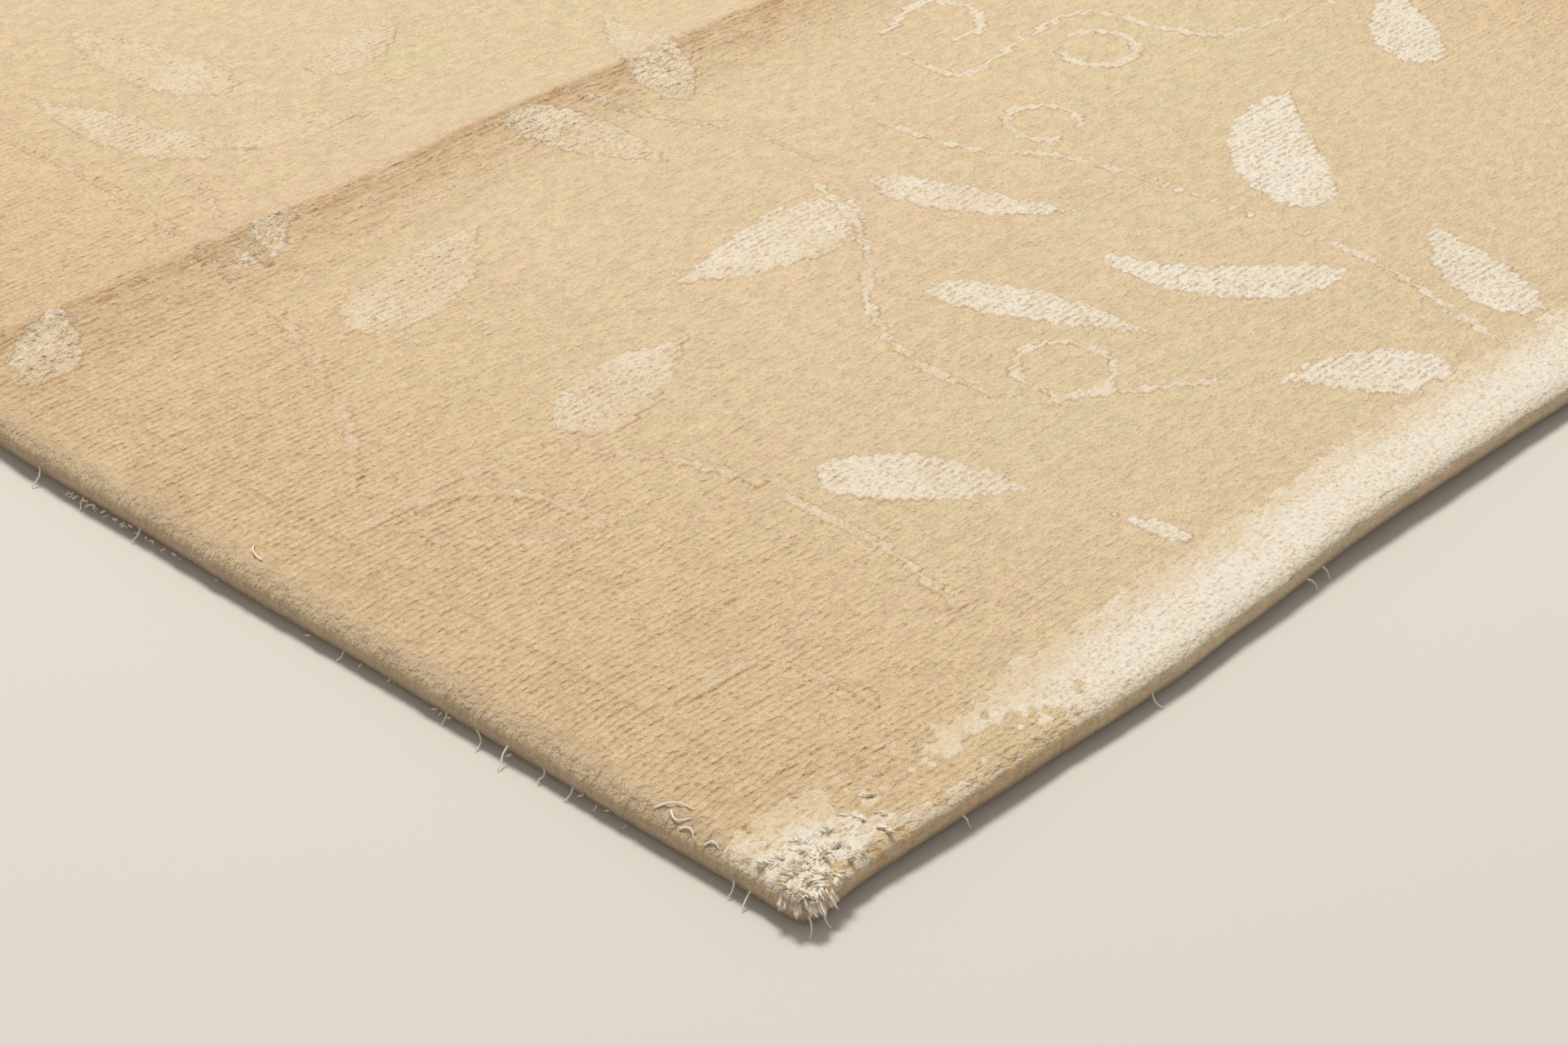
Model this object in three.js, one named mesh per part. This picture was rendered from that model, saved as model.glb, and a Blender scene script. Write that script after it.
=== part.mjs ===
// A hand-knotted rug of wool and silk pile on a cotton foundation, lying on a floor.
// Millimetres, +Z up. X runs across the rug and Y along it, with its near end towards -Y.
// The origin is on the floor, under the middle of the rug.
import * as THREE from 'three';

// Sizes of the whole rug, squared up and pressed flat
const WIDTH = 610;
const LENGTH = 914;
const THICKNESS = 10;

// The rounded edge of the pile, given as how far each level stands in from the widest place.
// The foundation is set back under the pile, and the clipped top rolls over to the edge.
const PILE_EDGE = [
  { level: 'bulge of the pile', inset: 0, height: 5.4 },
  { level: 'shoulder', inset: 0.9, height: 7.9 },
  { level: 'roll of the top', inset: 2.8, height: 9.4 },
  { level: 'full height', inset: 6.5, height: 10 },
];
const FOUNDATION_EDGE = { inset: 1.0, height: 2.4 };
const UNDERSIDE_INSETS = [2.6, 4.2, 6.5, 11];
const CORNER_RADIUS = 6.5;

// The fold left by storage: a low ridge right across the rug, steeper on its far side
const FOLD = { fromNearEnd: 333, rise: 3.2, nearSlope: 36, farSlope: 20 };

// How far the sides and ends wander out from the squared-up rectangle, at places along them
const LEFT_SIDE = [
  { along: 0, out: 0.4 },
  { along: 70, out: 2.1 },
  { along: 140, out: 3.7 },
  { along: 210, out: 5.9 },
  { along: 285, out: 7.3 },
  { along: 380, out: 6.2 },
  { along: 520, out: 3.6 },
  { along: 700, out: 1.8 },
  { along: 914, out: 0.5 },
];
const RIGHT_SIDE = [
  { along: 0, out: 0.6 },
  { along: 160, out: 2.2 },
  { along: 345, out: 0.8 },
  { along: 560, out: 2.8 },
  { along: 760, out: 1.4 },
  { along: 914, out: 0.4 },
];
const NEAR_END = [
  { along: 0, out: 0 },
  { along: 20, out: -1.8 },
  { along: 80, out: 0 },
  { along: 130, out: 1.2 },
  { along: 160, out: 0 },
  { along: 215, out: -1.8 },
  { along: 280, out: -1.2 },
  { along: 360, out: 0.6 },
  { along: 470, out: -0.8 },
  { along: 610, out: 0 },
];
const FAR_END = [
  { along: 0, out: 0 },
  { along: 150, out: 1.6 },
  { along: 330, out: -0.6 },
  { along: 480, out: 1.2 },
  { along: 610, out: 0 },
];

// Places where an edge lifts a little off the floor: how high, how far to each side along the
// edge, and how deep into the rug
const LIFTS = [
  { edge: 'near', along: 62, height: 0.8, reach: 55, depth: 28 },
  { edge: 'near', along: 235, height: 1.6, reach: 105, depth: 42 },
  { edge: 'near', along: 500, height: 1.2, reach: 90, depth: 36 },
  { edge: 'left', along: 250, height: 0.9, reach: 120, depth: 30 },
  { edge: 'left', along: 640, height: 1.3, reach: 130, depth: 36 },
  { edge: 'right', along: 210, height: 1.1, reach: 120, depth: 34 },
  { edge: 'right', along: 690, height: 1.5, reach: 120, depth: 40 },
  { edge: 'far', along: 180, height: 1.2, reach: 100, depth: 36 },
  { edge: 'far', along: 430, height: 1.4, reach: 110, depth: 38 },
];

// The uneven height of the clipped pile: long, shallow waves
const PILE_WAVES = [
  { height: 0.22, lengthX: 310, lengthY: 540, phase: 0.6 },
  { height: 0.16, lengthX: -205, lengthY: 260, phase: 2.1 },
  { height: 0.1, lengthX: 130, lengthY: 175, phase: 4.0 },
];

// Spacing of the surface's stations away from edges and fold
const STATION_SPACING = 27;
const FOLD_STATIONS = [-1, -0.72, -0.46, -0.22, 0, 0.35, 0.68, 1];

// A smooth hill: 1 in the middle, 0 from one reach away
function hill(offset, reach) {
  const t = Math.min(Math.abs(offset) / reach, 1);
  return (1 + Math.cos(Math.PI * t)) / 2;
}

// Reads a table of places along an edge, with smooth steps between its rows
function wander(table, along) {
  const last = table.findIndex((row) => row.along >= along);
  if (last <= 0) return table[0].out;
  const a = table[last - 1];
  const b = table[last];
  return THREE.MathUtils.lerp(a.out, b.out, THREE.MathUtils.smoothstep(along, a.along, b.along));
}

// Height of the pile's surface over the underside, by distance in from the edge
function pileHeight(inset) {
  const last = PILE_EDGE.findIndex((row) => row.inset >= inset);
  if (last < 0) return THICKNESS;
  if (last === 0) return PILE_EDGE[0].height;
  const a = PILE_EDGE[last - 1];
  const b = PILE_EDGE[last];
  return THREE.MathUtils.mapLinear(inset, a.inset, b.inset, a.height, b.height);
}

// How far the whole cloth stands off the floor: the fold's arch and the lifted edges
function rise(x, y) {
  const beyond = y - FOLD.fromNearEnd;
  const arch = FOLD.rise * hill(beyond, beyond < 0 ? FOLD.nearSlope : FOLD.farSlope);
  const edges = {
    near: [x, y],
    far: [x, LENGTH - y],
    left: [y, x],
    right: [y, WIDTH - x],
  };
  const lift = LIFTS.reduce((sum, row) => {
    const [along, inset] = edges[row.edge];
    const fade = Math.max(0, 1 - inset / row.depth);
    return sum + row.height * hill(along - row.along, row.reach) * fade * fade;
  }, 0);
  return arch + lift;
}

function pileWave(x, y, inset) {
  const fade = THREE.MathUtils.smoothstep(inset, 0, 30);
  return PILE_WAVES.reduce((sum, row) => {
    const angle = 2 * Math.PI * (x / row.lengthX + y / row.lengthY) + row.phase;
    return sum + fade * row.height * Math.sin(angle);
  }, 0);
}

// Moves a point of the squared-up rug to where it lies: corners rounded, sides wandering
function lay(x, y, z) {
  let px = Math.min(x, WIDTH - x) - CORNER_RADIUS;
  let py = Math.min(y, LENGTH - y) - CORNER_RADIUS;
  if (px < 0 && py < 0) {
    const round = Math.max(-px, -py) / Math.hypot(px, py);
    px *= round;
    py *= round;
    x = x < WIDTH / 2 ? CORNER_RADIUS + px : WIDTH - CORNER_RADIUS - px;
    y = y < LENGTH / 2 ? CORNER_RADIUS + py : LENGTH - CORNER_RADIUS - py;
  }
  const across = x / WIDTH;
  const up = y / LENGTH;
  const dx = across * wander(RIGHT_SIDE, y) - (1 - across) * wander(LEFT_SIDE, y);
  const dy = up * wander(FAR_END, x) - (1 - up) * wander(NEAR_END, x);
  return [x + dx - WIDTH / 2, y + dy - LENGTH / 2, z];
}

// Stations along one direction: the edge's own insets at both ends, the places asked for, and
// even steps between them. Their number doesn't depend on the insets, so that pile and underside match.
function stations(length, insets, places) {
  const marks = [0, ...places, length];
  const fixed = [insets.at(-1), ...places, length - insets.at(-1)];
  const inner = [fixed[0]];
  for (let k = 1; k < fixed.length; k += 1) {
    const steps = Math.max(1, Math.round((marks[k] - marks[k - 1]) / STATION_SPACING));
    for (let s = 1; s <= steps; s += 1) {
      inner.push(THREE.MathUtils.lerp(fixed[k - 1], fixed[k], s / steps));
    }
  }
  const near = insets.slice(0, -1);
  const far = near.map((inset) => length - inset).reverse();
  return [...near, ...inner, ...far];
}

function foldPlaces() {
  return FOLD_STATIONS.map((t) => FOLD.fromNearEnd + t * (t < 0 ? FOLD.nearSlope : FOLD.farSlope));
}

// The grid places on the rim, counter-clockwise seen from above
function rim(columns, rows) {
  const places = [];
  for (let i = 0; i < columns; i += 1) places.push([i, 0]);
  for (let j = 0; j < rows; j += 1) places.push([columns, j]);
  for (let i = columns; i > 0; i -= 1) places.push([i, rows]);
  for (let j = rows; j > 0; j -= 1) places.push([0, j]);
  return places;
}

// One closed surface: the pile's top, the underside, and the edge between them
function rugGeometry() {
  const pileInsets = PILE_EDGE.map((row) => row.inset);
  const topX = stations(WIDTH, pileInsets, []);
  const topY = stations(LENGTH, pileInsets, foldPlaces());
  const underX = stations(WIDTH, UNDERSIDE_INSETS, []);
  const underY = stations(LENGTH, UNDERSIDE_INSETS, foldPlaces());
  const columns = topX.length - 1;
  const rows = topY.length - 1;
  const points = [];
  const faces = [];

  const gridIndex = (start, i, j) => start + j * (columns + 1) + i;
  const quad = (a, b, c, d) => faces.push(a, b, c, a, c, d);

  const top = 0;
  for (const y of topY) {
    for (const x of topX) {
      const inset = Math.min(x, WIDTH - x, y, LENGTH - y);
      points.push(lay(x, y, rise(x, y) + pileHeight(inset) + pileWave(x, y, inset)));
    }
  }
  const under = points.length;
  for (const y of underY) {
    for (const x of underX) {
      points.push(lay(x, y, rise(x, y)));
    }
  }
  for (let j = 0; j < rows; j += 1) {
    for (let i = 0; i < columns; i += 1) {
      const corners = [[i, j], [i + 1, j], [i + 1, j + 1], [i, j + 1]];
      quad(...corners.map(([p, q]) => gridIndex(top, p, q)));
      quad(...corners.reverse().map(([p, q]) => gridIndex(under, p, q)));
    }
  }

  const edge = rim(columns, rows);
  const foundation = points.length;
  const setBack = (value, length) => {
    return THREE.MathUtils.clamp(value, FOUNDATION_EDGE.inset, length - FOUNDATION_EDGE.inset);
  };
  for (const [i, j] of edge) {
    const x = setBack(topX[i], WIDTH);
    const y = setBack(topY[j], LENGTH);
    points.push(lay(x, y, rise(x, y) + FOUNDATION_EDGE.height));
  }
  edge.forEach(([i, j], k) => {
    const after = (k + 1) % edge.length;
    const [nextI, nextJ] = edge[after];
    quad(gridIndex(under, i, j), gridIndex(under, nextI, nextJ), foundation + after, foundation + k);
    quad(foundation + k, foundation + after, gridIndex(top, nextI, nextJ), gridIndex(top, i, j));
  });

  const geometry = new THREE.BufferGeometry();
  geometry.setAttribute('position', new THREE.Float32BufferAttribute(points.flat(), 3));
  geometry.setIndex(faces);
  geometry.computeVertexNormals();
  return geometry;
}

const sandWool = new THREE.MeshStandardMaterial({ color: '#dcc49c', roughness: 0.95, metalness: 0 });

const rug = new THREE.Mesh(rugGeometry(), sandWool);
rug.name = 'rug';

// The origin goes under the middle of the rug as it lies, its wandering sides included
const extent = new THREE.Box3().setFromObject(rug);
const middle = extent.getCenter(new THREE.Vector3());
rug.position.set(-middle.x, -middle.y, -extent.min.z);

const model = new THREE.Group();
model.add(rug);

export default model;
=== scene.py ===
import math
from collections import namedtuple

import bmesh
import bpy
import numpy as np
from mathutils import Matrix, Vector


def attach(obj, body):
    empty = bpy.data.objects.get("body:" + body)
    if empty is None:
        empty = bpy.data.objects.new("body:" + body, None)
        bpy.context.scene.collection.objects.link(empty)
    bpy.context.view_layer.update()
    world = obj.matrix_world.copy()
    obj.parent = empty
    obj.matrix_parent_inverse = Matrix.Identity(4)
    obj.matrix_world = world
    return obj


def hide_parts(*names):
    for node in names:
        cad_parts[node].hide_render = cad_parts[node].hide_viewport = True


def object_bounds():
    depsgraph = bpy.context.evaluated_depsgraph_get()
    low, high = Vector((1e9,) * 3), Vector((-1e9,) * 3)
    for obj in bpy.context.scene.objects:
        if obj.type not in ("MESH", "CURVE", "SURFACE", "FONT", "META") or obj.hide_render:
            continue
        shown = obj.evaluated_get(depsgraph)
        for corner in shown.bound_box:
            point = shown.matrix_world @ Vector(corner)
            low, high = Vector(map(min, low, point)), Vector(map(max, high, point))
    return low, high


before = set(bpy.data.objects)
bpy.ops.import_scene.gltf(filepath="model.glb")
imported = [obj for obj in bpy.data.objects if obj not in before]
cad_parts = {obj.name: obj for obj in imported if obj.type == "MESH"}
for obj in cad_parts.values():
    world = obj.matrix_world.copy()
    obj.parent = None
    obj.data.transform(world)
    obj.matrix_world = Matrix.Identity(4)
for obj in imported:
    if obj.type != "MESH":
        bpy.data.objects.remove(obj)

cad_low, cad_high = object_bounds()

# The cloth of the rug: cotton warp and weft, with wool tied in row by row, clipped level and
# washed until it felts. Pile and foundation are one piece. The rows of knots run across the rug,
# the edges are turned under, and it lies flat but for the fold that it was stored with.
# All sizes are millimetres on the squared-up rug, from its left side and from its near end.
MM = 0.001
WIDTH, LENGTH, THICKNESS = 610, 914, 10
ROWS, KNOTS_A_ROW = 386, 262
ROW = LENGTH / ROWS
KNOT = WIDTH / KNOTS_A_ROW

# The rounded edge of the pile: its widest place, and the roll of the clipped top down to it
BULGE_HEIGHT, ROLL, ROLL_ROUNDNESS = 5.4, 6.5, 2.2
FOUNDATION_INSET, FOUNDATION_HEIGHT = 1.3, 1.7
UNDERSIDE_INSET, UNDERSIDE_RISE = 8, 1.6

FOLD_AT, FOLD_RISE, FOLD_NEAR_SLOPE, FOLD_FAR_SLOPE = 333, 3.2, 36, 20

# The fold opens the pile more and more up its near slope
RUFFLED_FROM, RUFFLED_TO, RUFFLED_GROWTH = FOLD_AT - 46, FOLD_AT - 1, 1.6
# The rows of knots show more and more from so far in from a side to so near it
SHOWN_FROM, SHOWN_TO = 190, 15
# The turned edge along each side
BAND = 26

Out = namedtuple("Out", "along out")
LEFT_SIDE = [
    Out(0, 0.4), Out(70, 2.1), Out(140, 3.7), Out(210, 5.9), Out(285, 7.3), Out(380, 6.2),
    Out(520, 3.6), Out(700, 1.8), Out(914, 0.5),
]
RIGHT_SIDE = [Out(0, 0.6), Out(160, 2.2), Out(345, 0.8), Out(560, 2.8), Out(760, 1.4), Out(914, 0.4)]
NEAR_END = [
    Out(0, 0), Out(20, -1.8), Out(80, 0), Out(130, 1.2), Out(160, 0), Out(215, -1.8),
    Out(280, -1.2), Out(360, 0.6), Out(470, -0.8), Out(610, 0),
]
FAR_END = [Out(0, 0), Out(150, 1.6), Out(330, -0.6), Out(480, 1.2), Out(610, 0)]

Lift = namedtuple("Lift", "edge along height reach depth")
LIFTS = [
    Lift("near", 62, 0.8, 55, 28),
    Lift("near", 235, 1.6, 105, 42),
    Lift("near", 500, 1.2, 90, 36),
    Lift("left", 250, 0.9, 120, 30),
    Lift("left", 640, 1.3, 130, 36),
    Lift("right", 210, 1.1, 120, 34),
    Lift("right", 690, 1.5, 120, 40),
    Lift("far", 180, 1.2, 100, 36),
    Lift("far", 430, 1.4, 110, 38),
]

Wave = namedtuple("Wave", "height length_x length_y phase")
PILE_WAVES = [Wave(0.22, 310, 540, 0.6), Wave(0.16, -205, 260, 2.1), Wave(0.1, 130, 175, 4.0)]


def soft_step(value, low, high):
    t = np.clip((value - low) / (high - low), 0, 1)
    return t * t * (3 - 2 * t)


def hill(offset, reach):
    return (1 + np.cos(np.pi * np.minimum(np.abs(offset) / reach, 1))) / 2


def wander(table, along):
    places = np.array([row.along for row in table], float)
    outs = np.array([row.out for row in table], float)
    k = np.clip(np.searchsorted(places, along) - 1, 0, len(places) - 2)
    t = soft_step(along, places[k], places[k + 1])
    return outs[k] * (1 - t) + outs[k + 1] * t


def edge_inset(x, y):
    return np.minimum(np.minimum(x, WIDTH - x), np.minimum(y, LENGTH - y))


def off_floor(x, y):
    """How far the whole cloth stands off the floor: the fold's arch and the lifted edges."""
    beyond = y - FOLD_AT
    height = FOLD_RISE * hill(beyond, np.where(beyond < 0, FOLD_NEAR_SLOPE, FOLD_FAR_SLOPE))
    edges = {"near": (x, y), "far": (x, LENGTH - y), "left": (y, x), "right": (y, WIDTH - x)}
    for row in LIFTS:
        along, inset = edges[row.edge]
        fade = np.clip(1 - inset / row.depth, 0, 1)
        height = height + row.height * hill(along - row.along, row.reach) * fade * fade
    return height


def pile_height(x, y):
    inset = edge_inset(x, y)
    rolled = np.clip(1 - inset / ROLL, 0, 1) ** ROLL_ROUNDNESS
    height = BULGE_HEIGHT + (THICKNESS - BULGE_HEIGHT) * (1 - rolled) ** (1 / ROLL_ROUNDNESS)
    for row in PILE_WAVES:
        angle = 2 * np.pi * (x / row.length_x + y / row.length_y) + row.phase
        height = height + soft_step(inset, 0, 30) * row.height * np.sin(angle)
    return height


def laid(x, y, z):
    """Where a point of the squared-up rug lies: corners rounded, sides and ends wandering."""
    px, py = np.minimum(x, WIDTH - x) - ROLL, np.minimum(y, LENGTH - y) - ROLL
    at_corner = (px < 0) & (py < 0)
    pull = np.where(at_corner, np.maximum(-px, -py) / np.maximum(np.hypot(px, py), 1e-9), 1)
    x = np.where(at_corner, np.where(x < WIDTH / 2, ROLL + px * pull, WIDTH - ROLL - px * pull), x)
    y = np.where(at_corner, np.where(y < LENGTH / 2, ROLL + py * pull, LENGTH - ROLL - py * pull), y)
    across, up = x / WIDTH, y / LENGTH
    dx = across * wander(RIGHT_SIDE, y) - (1 - across) * wander(LEFT_SIDE, y)
    dy = up * wander(FAR_END, x) - (1 - up) * wander(NEAR_END, x)
    return np.stack(np.broadcast_arrays(x + dx, y + dy, z), -1)


def uneven(x, y, size_x, size_y, seed):
    """Smooth unevenness from -1 to 1, its hills about size_x by size_y."""
    shape = (int(LENGTH / size_y) + 3, int(WIDTH / size_x) + 3)
    lattice = np.random.default_rng(seed).uniform(-1, 1, shape)
    u, v = np.clip(x, 0, WIDTH) / size_x, np.clip(y, 0, LENGTH) / size_y
    i, j = np.floor(u).astype(int), np.floor(v).astype(int)
    s, t = soft_step(u - i, 0, 1), soft_step(v - j, 0, 1)
    near = lattice[j, i] * (1 - s) + lattice[j, i + 1] * s
    far = lattice[j + 1, i] * (1 - s) + lattice[j + 1, i + 1] * s
    return near * (1 - t) + far * t


def ruffled(y):
    """Where the pile is opened by the fold, from 0 to 1: more and more up its near slope."""
    up_slope = np.clip((y - RUFFLED_FROM) / (RUFFLED_TO - RUFFLED_FROM), 0, 1) ** RUFFLED_GROWTH
    return up_slope * (1 - soft_step(y, FOLD_AT - 1, FOLD_AT + 4))


def rows_show(x, y):
    """How plainly the rows of knots show, from 0 to 1: on the fold, and towards the sides."""
    from_side = np.minimum(x, WIDTH - x)
    return np.maximum(ruffled(y), 0.85 * soft_step(SHOWN_FROM - from_side, 0, SHOWN_FROM - SHOWN_TO))


def unevenness(x, y):
    """Small lumps of the felted pile, and more of them where the fold ruffles it."""
    lumps = 0.13 * uneven(x, y, 17, 12, 21) + 0.08 * uneven(x, y, 8, 3.2, 22)
    lumps = lumps + 0.9 * ruffled(y) * uneven(x, y, 9, 3.5, 23)
    return lumps * soft_step(edge_inset(x, y), 0, 3)


# Stations across the rug: close together over the rolled sides, then every 6 mm. Along it there
# are two to a row of knots, one on its crest and one in the gap to the next row.
SIDE_STATIONS = [0, 0.35, 0.9, 1.7, 2.8, 4.4, 6.5]
INNER_SPACING = 6
inner_steps = round((WIDTH - 2 * SIDE_STATIONS[-1]) / INNER_SPACING)
inner = np.linspace(SIDE_STATIONS[-1], WIDTH - SIDE_STATIONS[-1], inner_steps + 1)
near_side = np.array(SIDE_STATIONS[:-1])
across = np.concatenate([near_side, inner, (WIDTH - near_side)[::-1]])
half_rows = np.arange(2 * ROWS + 1) * ROW / 2
END_STATIONS = np.array([0.3, 0.7])
along = np.sort(np.concatenate([half_rows, END_STATIONS, LENGTH - END_STATIONS]))
x, y = np.meshgrid(across, along)

# The gaps between rows open here and there in dashes, more on the fold and in the side bands
row_place = y / ROW
in_gap = np.abs(row_place - np.round(row_place)) < 0.1
DASH_LENGTH = 9
# How deep a gap is where the pile has closed over it and where it is open, and what is added to
# both where the rows show most
GAP_CLOSED, GAP_OPEN, SHOWN_CLOSED, SHOWN_OPEN = 0.03, 0.14, 0.18, 0.45
CREST_RISE = 0.1
openness = np.random.default_rng(11).random((ROWS + 2, int(WIDTH / DASH_LENGTH) + 3))
dash = x / DASH_LENGTH
dash_cell = np.floor(dash).astype(int)
dash_blend = soft_step(dash - dash_cell, 0, 1)
gap_row = np.round(row_place).astype(int)
opened = openness[gap_row, dash_cell] * (1 - dash_blend) + openness[gap_row, dash_cell + 1] * dash_blend
opened = soft_step(opened, 0.5, 0.95)
shown = rows_show(x, y)
gap_depth = GAP_CLOSED + GAP_OPEN * opened + shown * (SHOWN_CLOSED + SHOWN_OPEN * opened)
gaps = np.where(in_gap, gap_depth, -CREST_RISE * shown) * soft_step(edge_inset(x, y), 2, 6)
top = laid(x, y, off_floor(x, y) + pile_height(x, y) + unevenness(x, y) - gaps)

# The turned sides and ends are felted and a little lumpy
rib = 0.3 * uneven(x, y, 600, 3.7, 24) + 0.25 * uneven(x, y, 600, 11, 26)
outermost = 1 - soft_step(np.minimum(x, WIDTH - x), 0, 2.5)
top[..., 0] += rib * outermost * np.where(x < WIDTH / 2, -1, 1)
end_rib = 0.3 * uneven(x, y, 3.3, 900, 25) + 0.2 * uneven(x, y, 12, 900, 27)
endmost = 1 - soft_step(np.minimum(y, LENGTH - y), 0, 2.5)
top[..., 1] += end_rib * endmost * np.where(y < LENGTH / 2, -1, 1)

# The squared-up rug's own corner, in the frame that all pieces share: the widest places of the
# cloth come to the sides of the CAD model's box, but for the little that the felt stands out
FELT_STANDS_OUT = 0.15
widest = np.array([top[..., 0].min(), top[..., 1].min()]) + FELT_STANDS_OUT
CORNER = np.array([cad_low.x / MM - widest[0], cad_low.y / MM - widest[1], 0])


def rim_of(grid):
    """The border of a grid of points, counter-clockwise seen from above."""
    return np.concatenate([grid[0, :-1], grid[:-1, -1], grid[-1, :0:-1], grid[:0:-1, 0]])


def ring(x, y, inset, height):
    x, y = np.clip(x, inset, WIDTH - inset), np.clip(y, inset, LENGTH - inset)
    return laid(x, y, off_floor(x, y) + height)


top_index = np.arange(x.size).reshape(x.shape)
rim_top = rim_of(top_index)
rim_x, rim_y = rim_of(x), rim_of(y)
rim_size = len(rim_top)
# Under the edges the cloth comes down to the floor in two steps, and lies on it from there
LYING_INSET, LYING_CELLS_X, LYING_CELLS_Y = 16, 24, 36
floor_x, floor_y = np.meshgrid(
    np.linspace(LYING_INSET, WIDTH - LYING_INSET, LYING_CELLS_X + 1),
    np.linspace(LYING_INSET, LENGTH - LYING_INSET, LYING_CELLS_Y + 1),
)
under = laid(floor_x, floor_y, off_floor(floor_x, floor_y))
foundation_edge = ring(rim_x, rim_y, FOUNDATION_INSET, FOUNDATION_HEIGHT)
under_edge = ring(rim_x, rim_y, UNDERSIDE_INSET, UNDERSIDE_RISE)
points = np.concatenate([top.reshape(-1, 3), foundation_edge, under_edge, under.reshape(-1, 3)])
flat_places = np.concatenate([
    np.stack([x.ravel(), y.ravel()], -1),
    np.stack([rim_x, rim_y], -1),
    np.stack([rim_x, rim_y], -1),
    np.stack([floor_x.ravel(), floor_y.ravel()], -1),
])
foundation_ring = x.size + np.arange(rim_size)
under_ring = foundation_ring + rim_size
under_index = x.size + 2 * rim_size + np.arange(floor_x.size).reshape(floor_x.shape)


def quads(a, b, c, d):
    return np.stack([a.ravel(), b.ravel(), c.ravel(), d.ravel()], -1).tolist()


def next_round(loop):
    return np.roll(loop, -1)


pile_faces = quads(top_index[:-1, :-1], top_index[:-1, 1:], top_index[1:, 1:], top_index[1:, :-1])
pile_faces += quads(foundation_ring, next_round(foundation_ring), next_round(rim_top), rim_top)
under_faces = quads(under_ring, next_round(under_ring), next_round(foundation_ring), foundation_ring)
under_faces += quads(
    under_index[1:, :-1], under_index[1:, 1:], under_index[:-1, 1:], under_index[:-1, :-1]
)
# The underside's coarse middle is joined to the fine rim by a strip of triangles
coarse = rim_of(under_index)
coarse_points = points[coarse]
fine_points = points[under_ring]
distance = np.linalg.norm(fine_points[:, None, :2] - coarse_points[None, :, :2], axis=2)
nearest = distance.argmin(axis=1)
for k in range(rim_size):
    here, after = nearest[k], nearest[(k + 1) % rim_size]
    fine_here, fine_after = under_ring[k], under_ring[(k + 1) % rim_size]
    under_faces.append([int(fine_after), int(fine_here), int(coarse[here])])
    while here != after:
        step_on = (here + 1) % len(coarse)
        under_faces.append([int(coarse[step_on]), int(fine_after), int(coarse[here])])
        here = step_on


def new_piece(name, mesh):
    piece = bpy.data.objects.new(name, mesh)
    bpy.context.scene.collection.objects.link(piece)
    return piece


def node(tree, kind, inputs=(), **settings):
    """Adds a node to a tree, with its settings, and sets or joins its inputs."""
    made = tree.nodes.new(kind)
    for name, value in settings.items():
        setattr(made, name, value)
    for name, value in dict(inputs).items():
        if isinstance(value, bpy.types.NodeSocket):
            tree.links.new(value, made.inputs[name])
        else:
            made.inputs[name].default_value = value
    return made


def maths(tree, operation, a, b=0.0, c=0.0):
    return node(tree, "ShaderNodeMath", {0: a, 1: b, 2: c}, operation=operation).outputs[0]


def ranged(tree, value, low, high, to_low=0.0, to_high=1.0, smooth=True):
    inputs = {"Value": value, "From Min": low, "From Max": high, "To Min": to_low, "To Max": to_high}
    kind = "SMOOTHSTEP" if smooth else "LINEAR"
    return node(tree, "ShaderNodeMapRange", inputs, interpolation_type=kind).outputs["Result"]


def mixed(tree, share, a, b, blend="MIX"):
    made = node(tree, "ShaderNodeMix", data_type="RGBA", blend_type=blend)
    for name, value in {0: share, 6: a, 7: b}.items():
        if isinstance(value, bpy.types.NodeSocket):
            tree.links.new(value, made.inputs[name])
        else:
            made.inputs[name].default_value = value
    return made.outputs[2]


def noise(tree, vector, scale, detail=2.0, roughness=0.5):
    inputs = {"Vector": vector, "Scale": scale, "Detail": detail, "Roughness": roughness}
    return node(tree, "ShaderNodeTexNoise", inputs, noise_dimensions="3D").outputs["Fac"]


def stretched(tree, vector, scale):
    return node(tree, "ShaderNodeMapping", {"Vector": vector, "Scale": scale}).outputs["Vector"]


def patchwork(tree, flat, across, along, detail, roughness=0.5):
    """Soft patches, about so many millimetres across the squared-up rug and along it."""
    return noise(tree, stretched(tree, flat, (1 / across, 1 / along, 1)), 1.0, detail, roughness)


def flat_millimetres(tree):
    """The place on the squared-up rug, from the flat map."""
    flat = node(tree, "ShaderNodeUVMap", uv_map="flat").outputs["UV"]
    return stretched(tree, flat, (WIDTH, LENGTH, 1))


def new_material(name, roughness, sheen, sheen_roughness, sheen_tint, specular):
    made = bpy.data.materials.new(name)
    made.use_nodes = True
    shader = made.node_tree.nodes["Principled BSDF"]
    shader.inputs["Roughness"].default_value = roughness
    shader.inputs["Sheen Weight"].default_value = sheen
    shader.inputs["Sheen Roughness"].default_value = sheen_roughness
    shader.inputs["Sheen Tint"].default_value = sheen_tint
    shader.inputs["Specular IOR Level"].default_value = specular
    return made, made.node_tree, shader


def pressed(tree, shader, height):
    """Joins a height in millimetres to the shader's normal."""
    inputs = {"Height": height, "Distance": MM, "Strength": 1.0}
    bump = node(tree, "ShaderNodeBump", inputs)
    tree.links.new(bump.outputs["Normal"], shader.inputs["Normal"])


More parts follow.
